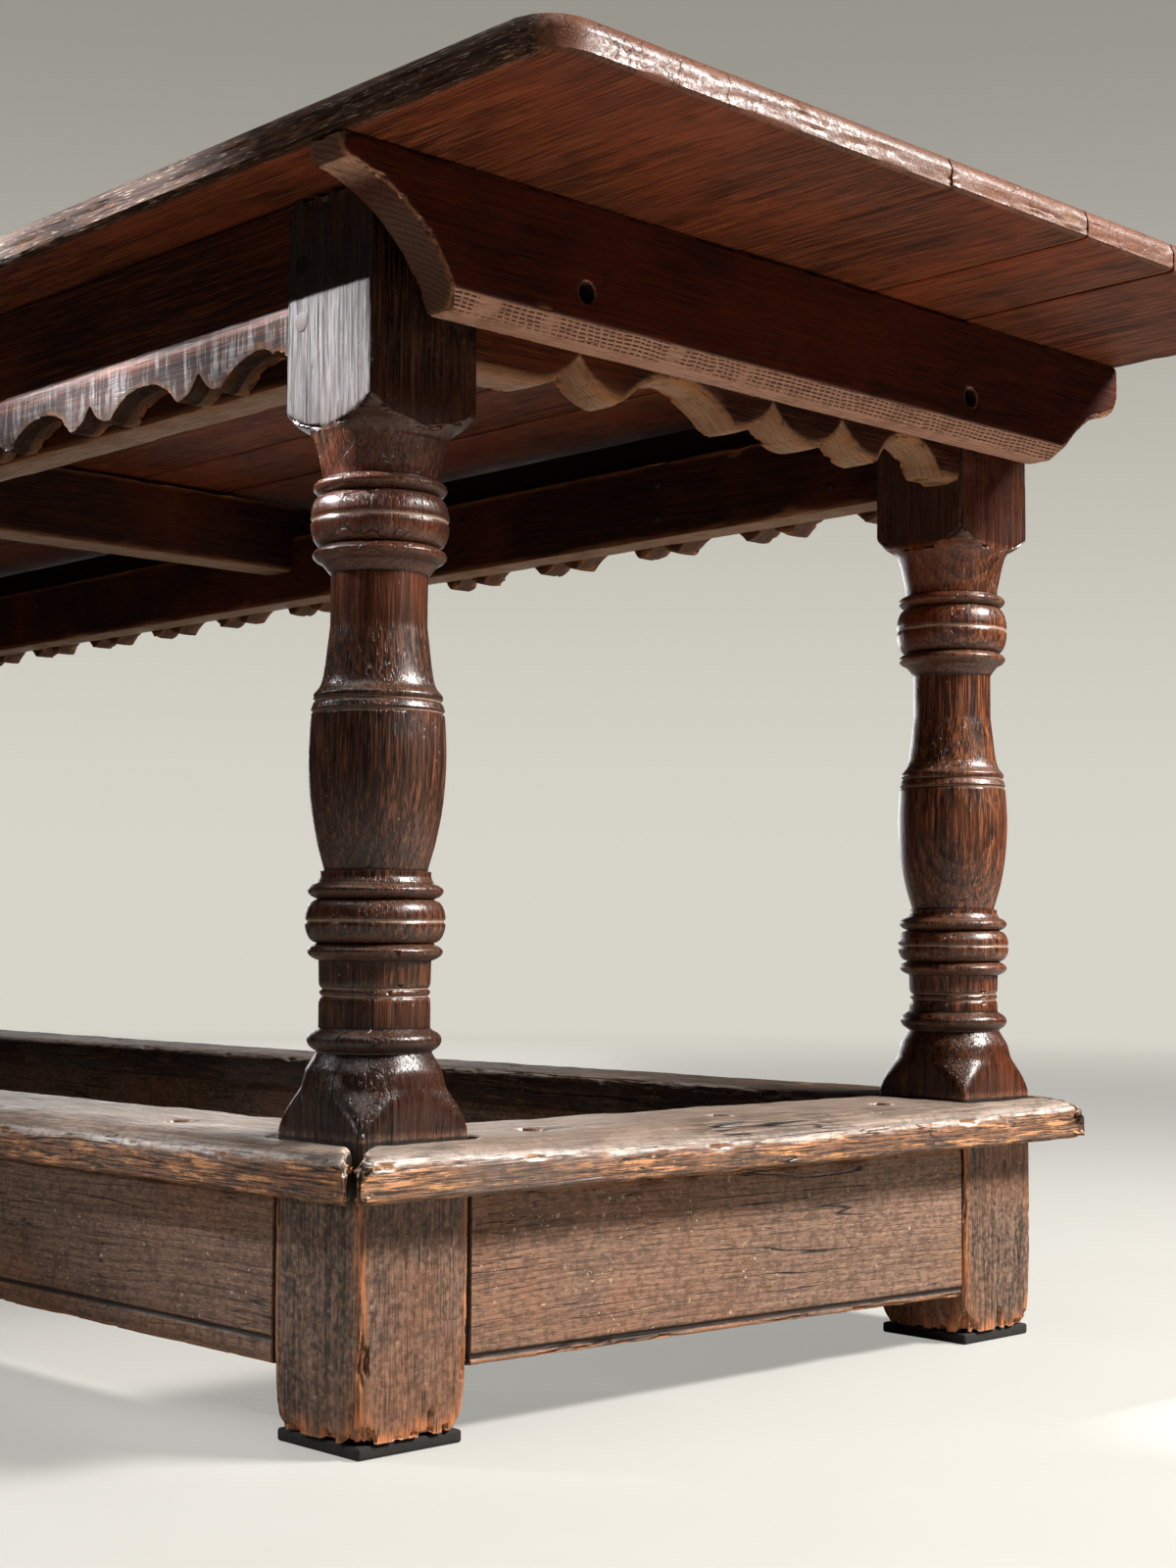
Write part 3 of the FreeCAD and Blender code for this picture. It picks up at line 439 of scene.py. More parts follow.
def turned_leg_tree():
    """Spins a profile about the Z axis and cuts it back to a square block; Y of its points softens the corners."""
    labels = [("Geometry", "Geometry"), ("Finish", "Material"), ("Rows", "Int"), ("Segments", "Int"),
              ("Block Size", "Float"), ("Blend", "Float"), ("Place", "Vector")]
    tree, start, given = new_tree("turned leg", labels)
    sockets = {"Size X": 1.0, "Size Y": 1.0, "Vertices X": given["Segments"], "Vertices Y": given["Rows"]}
    sheet = start.node("GeometryNodeMeshGrid", None, sockets)
    across, up, _ = start.node("GeometryNodeInputPosition").split()
    turn = (across + 0.5) * (2.0 * math.pi)
    turn = turn + (turn * 4.0).alone("SINE") * 0.17
    row = ((up + 0.5) * (given["Rows"] - 1.0)).alone("ROUND")
    settings = {"data_type": "FLOAT_VECTOR", "domain": "POINT"}
    sockets = {"Geometry": given["Geometry"], "Value": start.node("GeometryNodeInputPosition"), "Index": row}
    radius, arris, height = start.node("GeometryNodeSampleIndex", settings, sockets).split()
    cosine = turn.alone("COSINE")
    sine = turn.alone("SINE")
    corner = start.maths("SMOOTH_MAX", cosine.size(), sine.size(), arris)
    square = given["Block Size"] * 0.5 / corner
    bell = height.between(0.18, 0.19) * (1.0 - height.between(0.23, 0.24))
    cut = start.maths("SMOOTH_MIN", radius, square, given["Blend"] * (1.0 + bell * 15.0))
    cut = cut.smaller(radius)
    spun = start.vectors("ADD", start.vector(cosine * cut, sine * cut, height), given["Place"])
    shaped = start.node("GeometryNodeSetPosition", None, {"Geometry": sheet, "Position": spun})
    closed = start.node("GeometryNodeMergeByDistance", None, {"Geometry": shaped, "Distance": 0.00002})
    close_tree(start, closed, given["Finish"])
    return tree


def driven_heads_tree():
    """Sets a slightly irregular domed head on every point, facing the way that the point's facing says."""
    labels = [("Geometry", "Geometry"), ("Finish", "Material"), ("Diameter", "Float"), ("Dome", "Float"),
              ("Sunk Length", "Float"), ("Sides", "Int"), ("Unevenness", "Float"), ("Seed", "Int")]
    tree, start, given = new_tree("driven heads", labels)
    sockets = {"Vertices": given["Sides"], "Side Segments": 2, "Fill Segments": 3, "Radius": given["Diameter"] * 0.5,
               "Depth": given["Sunk Length"]}
    head = start.node("GeometryNodeMeshCylinder", None, sockets)
    place = start.node("GeometryNodeInputPosition")
    x, y, z = place.split()
    reach = start.vectors("LENGTH", start.vector(x, y, 0.0), out="Value") / (given["Diameter"] * 0.5)
    crown = z.between(0.0, 0.0001) * (1.0 - reach * reach) * given["Dome"]
    lump = place.cloud(260.0, 1.0) - 0.5
    bent = start.vector(x * (1.0 + lump * given["Unevenness"]), y * (1.0 - lump * given["Unevenness"]),
                        z - given["Sunk Length"] * 0.5 + crown)
    domed = start.node("GeometryNodeSetPosition", None, {"Geometry": head, "Position": bent})
    facing = start.node("GeometryNodeInputNamedAttribute", {"data_type": "FLOAT_VECTOR"}, {"Name": "facing"})
    aimed = start.node("FunctionNodeAlignRotationToVector", {"axis": "Z"}, {"Vector": facing})
    spin = start.node("FunctionNodeRandomValue", {"data_type": "FLOAT"}, {2: 0.0, 3: 6.28, "Seed": given["Seed"]}, 1)
    spun = start.node("FunctionNodeRotateRotation", {"rotation_space": "LOCAL"},
                      {"Rotation": aimed, "Rotate By": start.vector(0.0, 0.0, spin)})
    grown = start.node("FunctionNodeRandomValue", {"data_type": "FLOAT"},
                       {2: 0.92, 3: 1.04, "Seed": given["Seed"] + 7.0}, 1)
    sockets = {"Points": given["Geometry"], "Instance": domed, "Rotation": spun,
               "Scale": start.vector(grown, grown, 1.0)}
    close_tree(start, start.node("GeometryNodeInstanceOnPoints", None, sockets), given["Finish"])
    return tree


def modified(mesh, kind, settings):
    """The plain mesh that one modifier makes of a mesh; settings fills in the modifier."""
    carrier = into_scene("carrier", mesh)
    settings(carrier.modifiers.new("change", kind))
    carrier.update_tag()
    bpy.context.view_layer.update()
    made = bpy.data.meshes.new_from_object(carrier.evaluated_get(bpy.context.evaluated_depsgraph_get()))
    bpy.data.objects.remove(carrier)
    return made


def grown(mesh, tree, values):
    """The plain mesh that a tree makes of a mesh, with the tree's named inputs set."""
    sockets = {s.name: s.identifier for s in tree.interface.items_tree if s.in_out == "INPUT"}

    def settings(modifier):
        modifier.node_group = tree
        for label, value in values.items():
            modifier[sockets[label]] = value

    return modified(mesh, "NODES", settings)


# Meshes

def mesh_of(name, points, faces):
    made = bpy.data.meshes.new(name)
    made.from_pydata([tuple(p) for p in points], [], [tuple(f) for f in faces])
    made.update()
    return made


def merged(mesh):
    """A mesh in edit form, with its double points merged."""
    work = bmesh.new()
    work.from_mesh(mesh)
    bmesh.ops.remove_doubles(work, verts=work.verts, dist=0.01 * mm)
    return work


def outward(mesh):
    """Merges doubles and turns every face outwards."""
    work = merged(mesh)
    bmesh.ops.recalc_face_normals(work, faces=work.faces)
    work.to_mesh(mesh)
    work.free()
    mesh.update()
    return mesh


def solid_copy(node, voxel):
    """A copy of a CAD node's mesh, merged and remeshed into even faces of about one voxel."""
    mesh = nodes[node].data.copy()
    work = merged(mesh)
    work.to_mesh(mesh)
    work.free()

    def settings(modifier):
        modifier.mode = "VOXEL"
        modifier.voxel_size = voxel

    made = modified(mesh, "REMESH", settings)
    made.materials.clear()
    return made


def halve_faces(mesh, beyond):
    """Halves the size of the faces beyond an X place."""
    work = bmesh.new()
    work.from_mesh(mesh)
    near = [e for e in work.edges if min(v.co.x for v in e.verts) > beyond]
    bmesh.ops.subdivide_edges(work, edges=near, cuts=1, use_grid_fill=True)
    work.to_mesh(mesh)
    work.free()


def lines(low, high, step, arris):
    """Grid lines from low to high, closer near both ends so that a rounded arris has faces."""
    near = [0.0, 0.3 * arris, 0.6 * arris, arris, 2.2 * arris]
    inner_low, inner_high = low + near[-1], high - near[-1]
    count = max(1, round((inner_high - inner_low) / step))
    middle = [inner_low + (inner_high - inner_low) * i / count for i in range(count + 1)]
    return np.array([low + d for d in near[:-1]] + middle + [high - d for d in reversed(near[:-1])])


def lattice(xs, ys, zs):
    """The skin of a box on three sets of grid lines: its points and quads, faces outwards."""
    nx, ny, nz = len(xs), len(ys), len(zs)
    number = np.arange(nx * ny * nz).reshape(nx, ny, nz)
    quads = []

    def side(sheet, flip):
        a, b, c, d = sheet[:-1, :-1], sheet[1:, :-1], sheet[1:, 1:], sheet[:-1, 1:]
        order = (a, d, c, b) if flip else (a, b, c, d)
        quads.append(np.stack(order, -1).reshape(-1, 4))

    side(number[:, :, -1], False)
    side(number[:, :, 0], True)
    side(number[:, 0, :], False)
    side(number[:, -1, :], True)
    side(number[0, :, :], True)
    side(number[-1, :, :], False)
    faces = np.concatenate(quads)
    used, faces = np.unique(faces, return_inverse=True)
    i, j, k = np.unravel_index(used, (nx, ny, nz))
    return np.stack([xs[i], ys[j], zs[k]], 1), faces.reshape(-1, 4), (i, j, k)


def rounded_bar(low, high, arris, grids):
    """Points and faces of a straight bar with rounded arrises, on three sets of grid lines."""
    low, high = np.array(low), np.array(high)
    points, faces, _ = lattice(*grids)
    core = np.clip(points, low + arris, high - arris)
    away = points - core
    length = np.linalg.norm(away, axis=1)[:, None]
    return core + away / np.maximum(length, 1e-9) * arris, faces


def unit(value):
    return np.clip(value, 0.0, 1.0)


def points_of(mesh):
    points = np.empty(len(mesh.vertices) * 3)
    mesh.vertices.foreach_get("co", points)
    return points.reshape(-1, 3)


def mark_edges(mesh, passes, full, blunt=0.0):
    """Stores how far each point stands out from its smoothed neighbours as edge, and how far in as hollow, which the
    oak paints dark as dirt and painted shade.

    Blunt is the share of the way to the smoothed place that each point is moved.
    """
    count = len(mesh.vertices)
    points = points_of(mesh)
    normals = np.empty(count * 3, np.float32)
    mesh.vertex_normals.foreach_get("vector", normals)
    pairs = np.empty(len(mesh.edges) * 2, np.int32)
    mesh.edges.foreach_get("vertices", pairs)
    a, b = pairs.reshape(-1, 2).T
    weight = np.maximum(np.bincount(a, minlength=count) + np.bincount(b, minlength=count), 1)
    smooth = points.copy()
    for _ in range(passes):
        total = np.empty_like(smooth)
        for axis in range(3):
            column = smooth[:, axis]
            total[:, axis] = np.bincount(a, column[b], count) + np.bincount(b, column[a], count)
        smooth = smooth * 0.4 + total / weight[:, None] * 0.6
    stands = ((points - smooth) * normals.reshape(-1, 3)).sum(1) / full
    edge, hollow = unit(stands), unit(-stands)
    store(mesh, "edge", edge)
    store(mesh, "hollow", hollow)
    if blunt:
        mesh.vertices.foreach_set("co", (points + (smooth - points) * blunt).ravel())
        mesh.update()
    return edge, hollow


def stored(mesh, name):
    value = np.empty(len(mesh.vertices), np.float32)
    mesh.attributes[name].data.foreach_get("value", value)
    return value


def store(mesh, name, value):
    attribute = mesh.attributes.get(name) or mesh.attributes.new(name, "FLOAT", "POINT")
    attribute.data.foreach_set("value", np.asarray(value, np.float32))


WEATHER = weathered_oak_tree()
TURNED_LEG = turned_leg_tree()
DRIVEN_HEADS = driven_heads_tree()


def place_piece(name, mesh, body, stands_for, crease):
    mesh.name = name
    mesh.shade_smooth()
    if crease:
        mesh.set_sharp_from_angle(angle=math.radians(crease))
    piece = into_scene(name, mesh)
    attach(piece, body)
    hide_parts(*stands_for)
    return piece


def aged(name, mesh, material, body, grain, seed, wear, chip, swell, crease=0.0, stands_for=None):
    """Weathers a mesh that carries its edge marks, and puts it in the scene for its CAD node."""
    stretch = [1.0, 1.0, 1.0]
    stretch[grain] = 0.22
    values = {"Finish": material, "Edge Wear": wear, "Chip Depth": chip[0], "Chip Size": chip[1],
              "Chip Share": chip[2], "Swell Depth": swell[0], "Swell Size": swell[1],
              "Grain Stretch": stretch, "Seed": seed}
    made = grown(mesh, WEATHER, values)
    return place_piece(name, made, body, stands_for or [name], crease)


# Top boards

TOP_CORNER = 34 * mm
TOP_ARRIS = 9 * mm
UNDER_ARRIS = 2.5 * mm
SEAM_ARRIS = 1.2 * mm


def fillet(radius, distance):
    """How far a rounded edge has fallen at a distance inside it."""
    inner = np.clip(radius - distance, 0.0, radius)
    return radius - np.sqrt(np.maximum(radius * radius - inner * inner, 0.0))


def top_board(number, heart):
    node = f"top_board_{number}"
    low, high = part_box(node)
    front, back = number == 1, number == 4
    xs = lines(low.x, high.x, 11 * mm, TOP_ARRIS)
    ys = lines(low.y, high.y, 9 * mm, TOP_ARRIS)
    zs = np.linspace(low.z, high.z, 9)
    points, faces, (_, _, k) = lattice(xs, ys, zs)
    x, y = points[:, 0].copy(), points[:, 1].copy()
    to_end = np.minimum(x - low.x, high.x - x)
    to_side = np.full(len(x), 1.0)
    if front:
        to_side = y - low.y
    if back:
        to_side = high.y - y
    a, b = TOP_CORNER - to_end, TOP_CORNER - to_side
    corner = (a > 0) & (b > 0)
    span = np.maximum(np.hypot(a, b), 1e-9)
    shrink = np.where(corner, np.maximum(a, b) / span, 1.0)
    x_side = np.where(x > 0, 1.0, -1.0)
    y_side = -1.0 if front else 1.0
    x = np.where(corner, x_side * (high.x - TOP_CORNER + a * shrink), x)
    y_rim = low.y if front else high.y
    y = np.where(corner, y_rim - y_side * (TOP_CORNER - b * shrink), y)
    to_rim = np.minimum(to_end, to_side)
    to_seam = np.full(len(x), 1.0)
    if not front:
        to_seam = np.minimum(to_seam, y - low.y)
    if not back:
        to_seam = np.minimum(to_seam, high.y - y)
    upper = high.z - np.maximum(fillet(TOP_ARRIS, to_rim), fillet(SEAM_ARRIS, to_seam))
    lower = low.z + np.maximum(fillet(UNDER_ARRIS, to_rim), fillet(SEAM_ARRIS, to_seam))
    share = k / 8.0
    points = np.stack([x, y, lower + (upper - lower) * share], 1)
    mesh = mesh_of(node, points, faces)
    rim = unit(1.0 - to_rim / (13 * mm)) ** 1.5
    store(mesh, "edge", np.maximum(rim, unit(1.0 - to_seam / (4 * mm)) * 0.4))
    end_rim = unit(1.5 - to_end / (10 * mm))
    side_rim = unit(1.5 - to_side / (10 * mm))
    store(mesh, "matt", side_rim * (1.0 - end_rim * 0.6))
    store(mesh, "polish", end_rim * 0.1)
    material = oak(f"top_oak_{number}", TOP_FINISH, 0, heart, number * 3.7)
    return aged(node, mesh, material, "top", 0, number * 1.9, 0.4 * mm, (1.2 * mm, 5 * mm, 0.34),
                (0.8 * mm, 160 * mm), 40.0)


for board, heart in ((1, (-0.24, 0.70)), (2, (0.03, 0.86)), (3, (0.15, 0.74)), (4, (0.30, 0.69))):
    top_board(board, heart)


# Battens, remeshed from the solids so that their shaped ends keep their form

HOLE_Y = 198 * mm
HOLE_Z = 709 * mm

for side, seed in (("right", 2.3), ("left", 6.1)):
    node = f"batten_{side}"
    low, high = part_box(node)
    mesh = solid_copy(node, 1.9 * mm)
    _, hollow = mark_edges(mesh, 8, 1.1 * mm)
    points = points_of(mesh)
    # Painted shade fills the peg holes
    for y in (-HOLE_Y, HOLE_Y):
        from_hole = np.hypot(points[:, 1] - y, points[:, 2] - HOLE_Z)
        hollow = np.maximum(hollow, unit((7.2 * mm - from_hole) / (1.0 * mm)))
    store(mesh, "hollow", hollow)
    material = oak(node + "_oak", BATTEN_FINISH, 1, (low.x - 0.05, 0.60), seed)
    aged(node, mesh, material, "top", 1, seed, 0.8 * mm, (2.2 * mm, 11 * mm, 0.42), (0.5 * mm, 70 * mm))


# Legs

BLOCK = 86 * mm
SHOULDER = 616.0
BELL_FOOT = 191.0
RING = 5.2
ROUND_PART = (0.186, 0.612)
LOW_RINGS = (0.234, 0.31)
BARREL = (0.345, 0.44)
INSIDE_CAP = (0.15, 0.1845)
BLOCK_FOOT = 0.617


class LegProfile:
    """Radii and heights down a leg, in millimetres; a back leg has a longer block and a lower barrel."""

    def __init__(self, block_extra, sag):
        self.top = SHOULDER - block_extra
        self.sag = sag
        self.points = [(0.0, 766.0), (20.0, 766.0), (40.0, 766.0)]
        self.scribed = []

    def at(self, share):
        return BELL_FOOT + (self.top - BELL_FOOT) * share - self.sag * 4.0 * share * (1.0 - share)

    def line(self, radius, height, step=2.5):
        r, h = self.points[-1]
        count = max(1, math.ceil(math.hypot(radius - r, height - h) / step))
        for i in range(1, count + 1):
            self.points.append((r + (radius - r) * i / count, h + (height - h) * i / count))

    def curve(self, through, step=1.6):
        knots = [self.points[-1]] + through
        ends = [(2 * knots[0][0] - knots[1][0], 2 * knots[0][1] - knots[1][1])]
        tail = [(2 * knots[-1][0] - knots[-2][0], 2 * knots[-1][1] - knots[-2][1])]
        knots = ends + knots + tail
        for p0, p1, p2, p3 in zip(knots, knots[1:], knots[2:], knots[3:]):
            count = max(2, math.ceil(math.hypot(p2[0] - p1[0], p2[1] - p1[1]) / step))
            for i in range(1, count + 1):
                t = i / count
                weights = (-t + 2 * t * t - t ** 3, 2 - 5 * t * t + 3 * t ** 3,
                           t + 4 * t * t - 3 * t ** 3, t ** 3 - t * t)
                self.points.append(tuple(sum(w * p[axis] for w, p in zip(weights, (p0, p1, p2, p3))) / 2
                                         for axis in (0, 1)))

    def ring(self, height, half, tip):
        for fall, share in ((6.2, 1.0), (2.6, 0.7), (0.7, 0.36), (0.0, 0.04), (0.5, -0.3), (2.4, -0.68), (6.0, -1.0)):
            self.line(tip - fall, height + half * share, 1.4)

    def groove(self, radius, height):
        for fall, rise in ((0.0, 1.6), (0.9, 0.7), (1.6, 0.0), (0.9, -0.7), (0.0, -1.6)):
            self.line(radius - fall, height + rise, 1.4)
        self.scribed.append(height)

    def bead(self, upper_share, lower_share):
        top, foot = self.at(upper_share) - RING, self.at(lower_share) + RING
        middle, span = (top + foot) / 2, (top - foot) / 2
        self.scribed.append(middle)
        for step in range(25):
            angle = math.pi / 2 - math.pi * step / 24
            height = middle + span * math.sin(angle)
            radius = 36.0 + 7.6 * math.cos(angle) ** 0.9
            quirk = 1.4 * math.exp(-((height - middle) / 0.9) ** 2)
            self.points.append((radius - quirk, height))


def leg_profile(block_extra, sag):
    pen = LegProfile(block_extra, sag)
    at = pen.at
    pen.line(70.0, 766.0, 5.0)
    pen.line(70.0, pen.top + 18.0, 6.0)
    pen.line(61.0, pen.top + 15.0)
    pen.curve([(52.0, pen.top + 6.5), (43.0, pen.top), (36.5, at(0.945))], 1.1)
    pen.ring(at(0.9225), RING, 42.2)
    pen.bead(0.9225, 0.8235)
    pen.ring(at(0.8235), RING, 42.2)
    pen.line(33.0, at(0.8235) - 9.0)
    pen.line(30.4, at(0.795))
    pen.line(30.4, at(0.72))
    groove = at(0.602)
    pen.curve([(34.8, at(0.642)), (40.5, groove + 7.0)])
    pen.groove(40.5, groove + 3.5)
    pen.groove(41.8, groove - 3.5)
    pen.curve([(42.9, at(0.53)), (41.3, at(0.466)), (37.5, at(0.412)), (32.2, at(0.365))])
    pen.line(34.5, at(0.365) - 0.4)
    pen.line(34.5, at(0.3355) + 8.4)
    pen.ring(at(0.3355), RING, 42.2)
    pen.bead(0.3355, 0.248)
    pen.ring(at(0.248), RING, 42.2)
    pen.line(34.8, at(0.248) - 5.6)
    line = at(0.19)
    pen.groove(34.5, line + 2.3)
    pen.groove(34.5, line - 2.3)
    pen.line(34.5, 250.0)
    pen.ring(242.4, 6.8, 41.8)
    pen.line(35.6, 235.0)
    pen.curve([(38.7, 229.7), (41.6, 224.8), (43.2, 219.4), (44.8, 213.6), (48.7, 207.3), (52.6, 201.3),
               (56.0, 195.1), (58.8, 188.9)], 1.2)
    pen.line(60.8, 184.0)
    pen.line(70.0, 182.0)
    pen.line(70.0, 40.0, 3.5)
    for radius, height in ((62.0, 36.0), (59.0, 28.0), (57.0, 20.0), (54.5, 14.0), (51.0, 8.0)):
        pen.line(radius, height, 2.5)
    for radius in (40.0, 20.0, 0.0):
        pen.points.append((radius, 8.0))
    return pen.points, pen.scribed


def corner_softness(height):
    """The square blocks are crisp under the top and trodden round near the floor."""
    if height > 186.0:
        return 0.045
    return 0.12 + 0.16 * min(1.0, max(0.0, (70.0 - height) / 60.0))


def leg(node, x, y, heart, seed, block_extra=0.0, sag=0.0):
    low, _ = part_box(node)
    outline, scribed = leg_profile(block_extra, sag)
    flat = [(r * mm, corner_softness(h), h * mm) for r, h in outline]
    profile = bpy.data.meshes.new("profile")
    profile.from_pydata(flat, [(i, i + 1) for i in range(len(flat) - 1)], [])
    tones = BACK_LEG_FINISH if block_extra else LEG_FINISH
    material = oak(node + "_oak", tones, 2, (x + heart[0], y + heart[1]), seed)
    values = {"Finish": material, "Rows": len(flat), "Segments": 145, "Block Size": BLOCK, "Blend": 0.5 * mm,
              "Place": (x, y, 0.0)}
    spun = outward(grown(profile, TURNED_LEG, values))
    edge, hollow = mark_edges(spun, 4, 0.32 * mm)
    points = points_of(spun)
    heights = points[:, 2]

    def within(span):
        return (heights > span[0]) & (heights < span[1])

    round_part = within(ROUND_PART)
    edge = np.where(round_part, edge * np.where(within(LOW_RINGS), 0.45, 0.12), edge)
    lower = unit((0.19 - heights) / 0.004)
    from_side = BLOCK / 2 - np.abs(points[:, :2] - np.array((x, y)))
    corner = unit(1.0 - from_side.max(1) / (16 * mm))
    foot = unit(1.0 - (heights - low.z) / (26 * mm))
    store(spun, "edge", unit(np.maximum(edge, lower * corner * 0.8) + foot * 0.8))
    from_line = np.abs(heights[:, None] - np.array(scribed) * mm).min(1)
    store(spun, "scribed", from_line < 0.4 * mm)
    # Dirt and painted shade in the quirks and creases of the turning
    store(spun, "hollow", np.where(from_line < 2.0 * mm, 0.0, np.where(round_part, hollow * 0.8, hollow * 0.4)))
    front = points[:, 1] < y - BLOCK / 2 + 3 * mm
    block = heights > BLOCK_FOOT
    store(spun, "polish", block & front)
    bell = unit((heights - 0.186) / 0.004) * unit((0.262 - heights) / 0.02)
    # Painted shade on the block's sides other than the front, which lie in the top's shadow, and on the leg inside the
    # cap; the bell is darkened as grime
    side_painted_shade = np.where(front, 0.0, 0.62 if block_extra else 0.4)
    store(spun, "grime", np.where(block, side_painted_shade, np.maximum(bell * 0.62, within(INSIDE_CAP))))
    store(spun, "matt", np.where(within(BARREL), 0.12, 0.0))
    return aged(node, spun, material, "frame", 2, seed, 1.1 * mm, (3.0 * mm, 9 * mm, 0.42),
                (0.5 * mm, 60 * mm), 38.0)


LEG_X, LEG_Y = 0.878, 0.290
leg("leg_front_right", LEG_X, -LEG_Y, (0.014, 0.02), 1.3)
leg("leg_back_right", LEG_X, LEG_Y, (-0.018, 0.012), 4.9, 6.0, 15.0)
leg("leg_front_left", -LEG_X, -LEG_Y, (0.012, -0.016), 8.2)
leg("leg_back_left", -LEG_X, LEG_Y, (-0.01, -0.02), 11.6, 6.0, 15.0)


# Scalloped aprons: the lower edge is read from the solid, then lofted with a softened arris

def lower_edge(node, axis, side, places):
    """Heights of a CAD node's lower edge, met from below at places along X (0) or Y (1)."""
    mesh = nodes[node].data
    solid = BVHTree.FromPolygons([v.co for v in mesh.vertices], [p.vertices for p in mesh.polygons])
    heights = []
    for place in places:
        foot = Vector((place, side, 0.5)) if axis == 0 else Vector((side, place, 0.5))
        heights.append(solid.ray_cast(foot, Vector((0.0, 0.0, 1.0)))[0].z)
    return np.array(heights)


def apron(node, axis, heart, seed):
    low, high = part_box(node)
    across = 1 - axis
    inner, outer = low[across], high[across]
    reach = (LEG_X if axis == 0 else LEG_Y) - BLOCK / 2
    places = np.linspace(-reach + 0.1 * mm, reach - 0.1 * mm, 860 if axis == 0 else 420)
    heights = lower_edge(node, axis, (inner + outer) / 2, places)
    stations = np.concatenate([[-reach - 6 * mm], places, [reach + 6 * mm]])
    foot = np.interp(stations, places, heights)
    arris = 1.6 * mm
    rows = []
    for share in (1.0, 0.8, 0.6, 0.42, 0.27, 0.15, 0.06):
        rows.append((inner, share, 0.0))
    for inset, rise in ((0.0, 1.0), (0.29, 0.29), (1.0, 0.0)):
        rows.append((inner + inset * arris, 0.0, rise * arris))
    for share in (0.33, 0.67):
        rows.append((inner + arris + (outer - inner - 2 * arris) * share, 0.0, 0.0))
    for inset, rise in ((1.0, 0.0), (0.29, 0.29), (0.0, 1.0)):
        rows.append((outer - inset * arris, 0.0, rise * arris))
    for share in (0.06, 0.15, 0.27, 0.42, 0.6, 0.8, 1.0):
        rows.append((outer, share, 0.0))
    points = []
    for place, base in zip(stations, foot):
        for side, share, rise in rows:
            height = base + rise if share == 0.0 else base + arris + (high.z - base - arris) * share
            points.append((place, side, height) if axis == 0 else (side, place, height))
    count = len(rows)
    faces = []
    for i in range(len(stations) - 1):
        for j in range(count):
            k = (j + 1) % count
            faces.append((i * count + j, (i + 1) * count + j, (i + 1) * count + k, i * count + k))
    faces.append(tuple(range(count)))
    faces.append(tuple((len(stations) - 1) * count + j for j in reversed(range(count))))
    mesh = mesh_of(node, points, faces)
    store(mesh, "cut", [1.0 if share == 0.0 else 0.0 for _, share, _ in rows] * len(stations))
    edge, hollow = mark_edges(outward(mesh), 3, 0.5 * mm)
    points = points_of(mesh)
    low_part = points[:, 2] < np.interp(points[:, axis], stations, foot) + 9 * mm
    store(mesh, "edge", edge * low_part)
    store(mesh, "hollow", hollow * 0.5 * low_part)
    inward = np.abs(points[:, across]) < (abs(inner) + abs(outer)) / 2
    share = 0.9 if node == "apron_front" else 0.0
    store(mesh, "polish", unit((0.705 - points[:, 2]) / 0.045) * share * ~inward)
    # Painted shade on the inner faces above the liner
    store(mesh, "grime", inward & (points[:, 2] > 0.7))
    material = oak(node + "_oak", SHADED_LONG_APRON_FINISH if axis == 0 else APRON_FINISH, axis, heart, seed)
    return aged(node, mesh, material, "frame", axis, seed, 0.6 * mm, (2.0 * mm, 9 * mm, 0.4),
                (0.7 * mm, 90 * mm), 38.0)


apron("apron_front", 0, (-0.23, 0.62), 3.1)
apron("apron_back", 0, (0.40, 0.64), 7.7)
apron("apron_right", 1, (0.82, 0.63), 5.3)
apron("apron_left", 1, (-0.98, 0.66), 9.4)


# Liners, bearer, stretchers

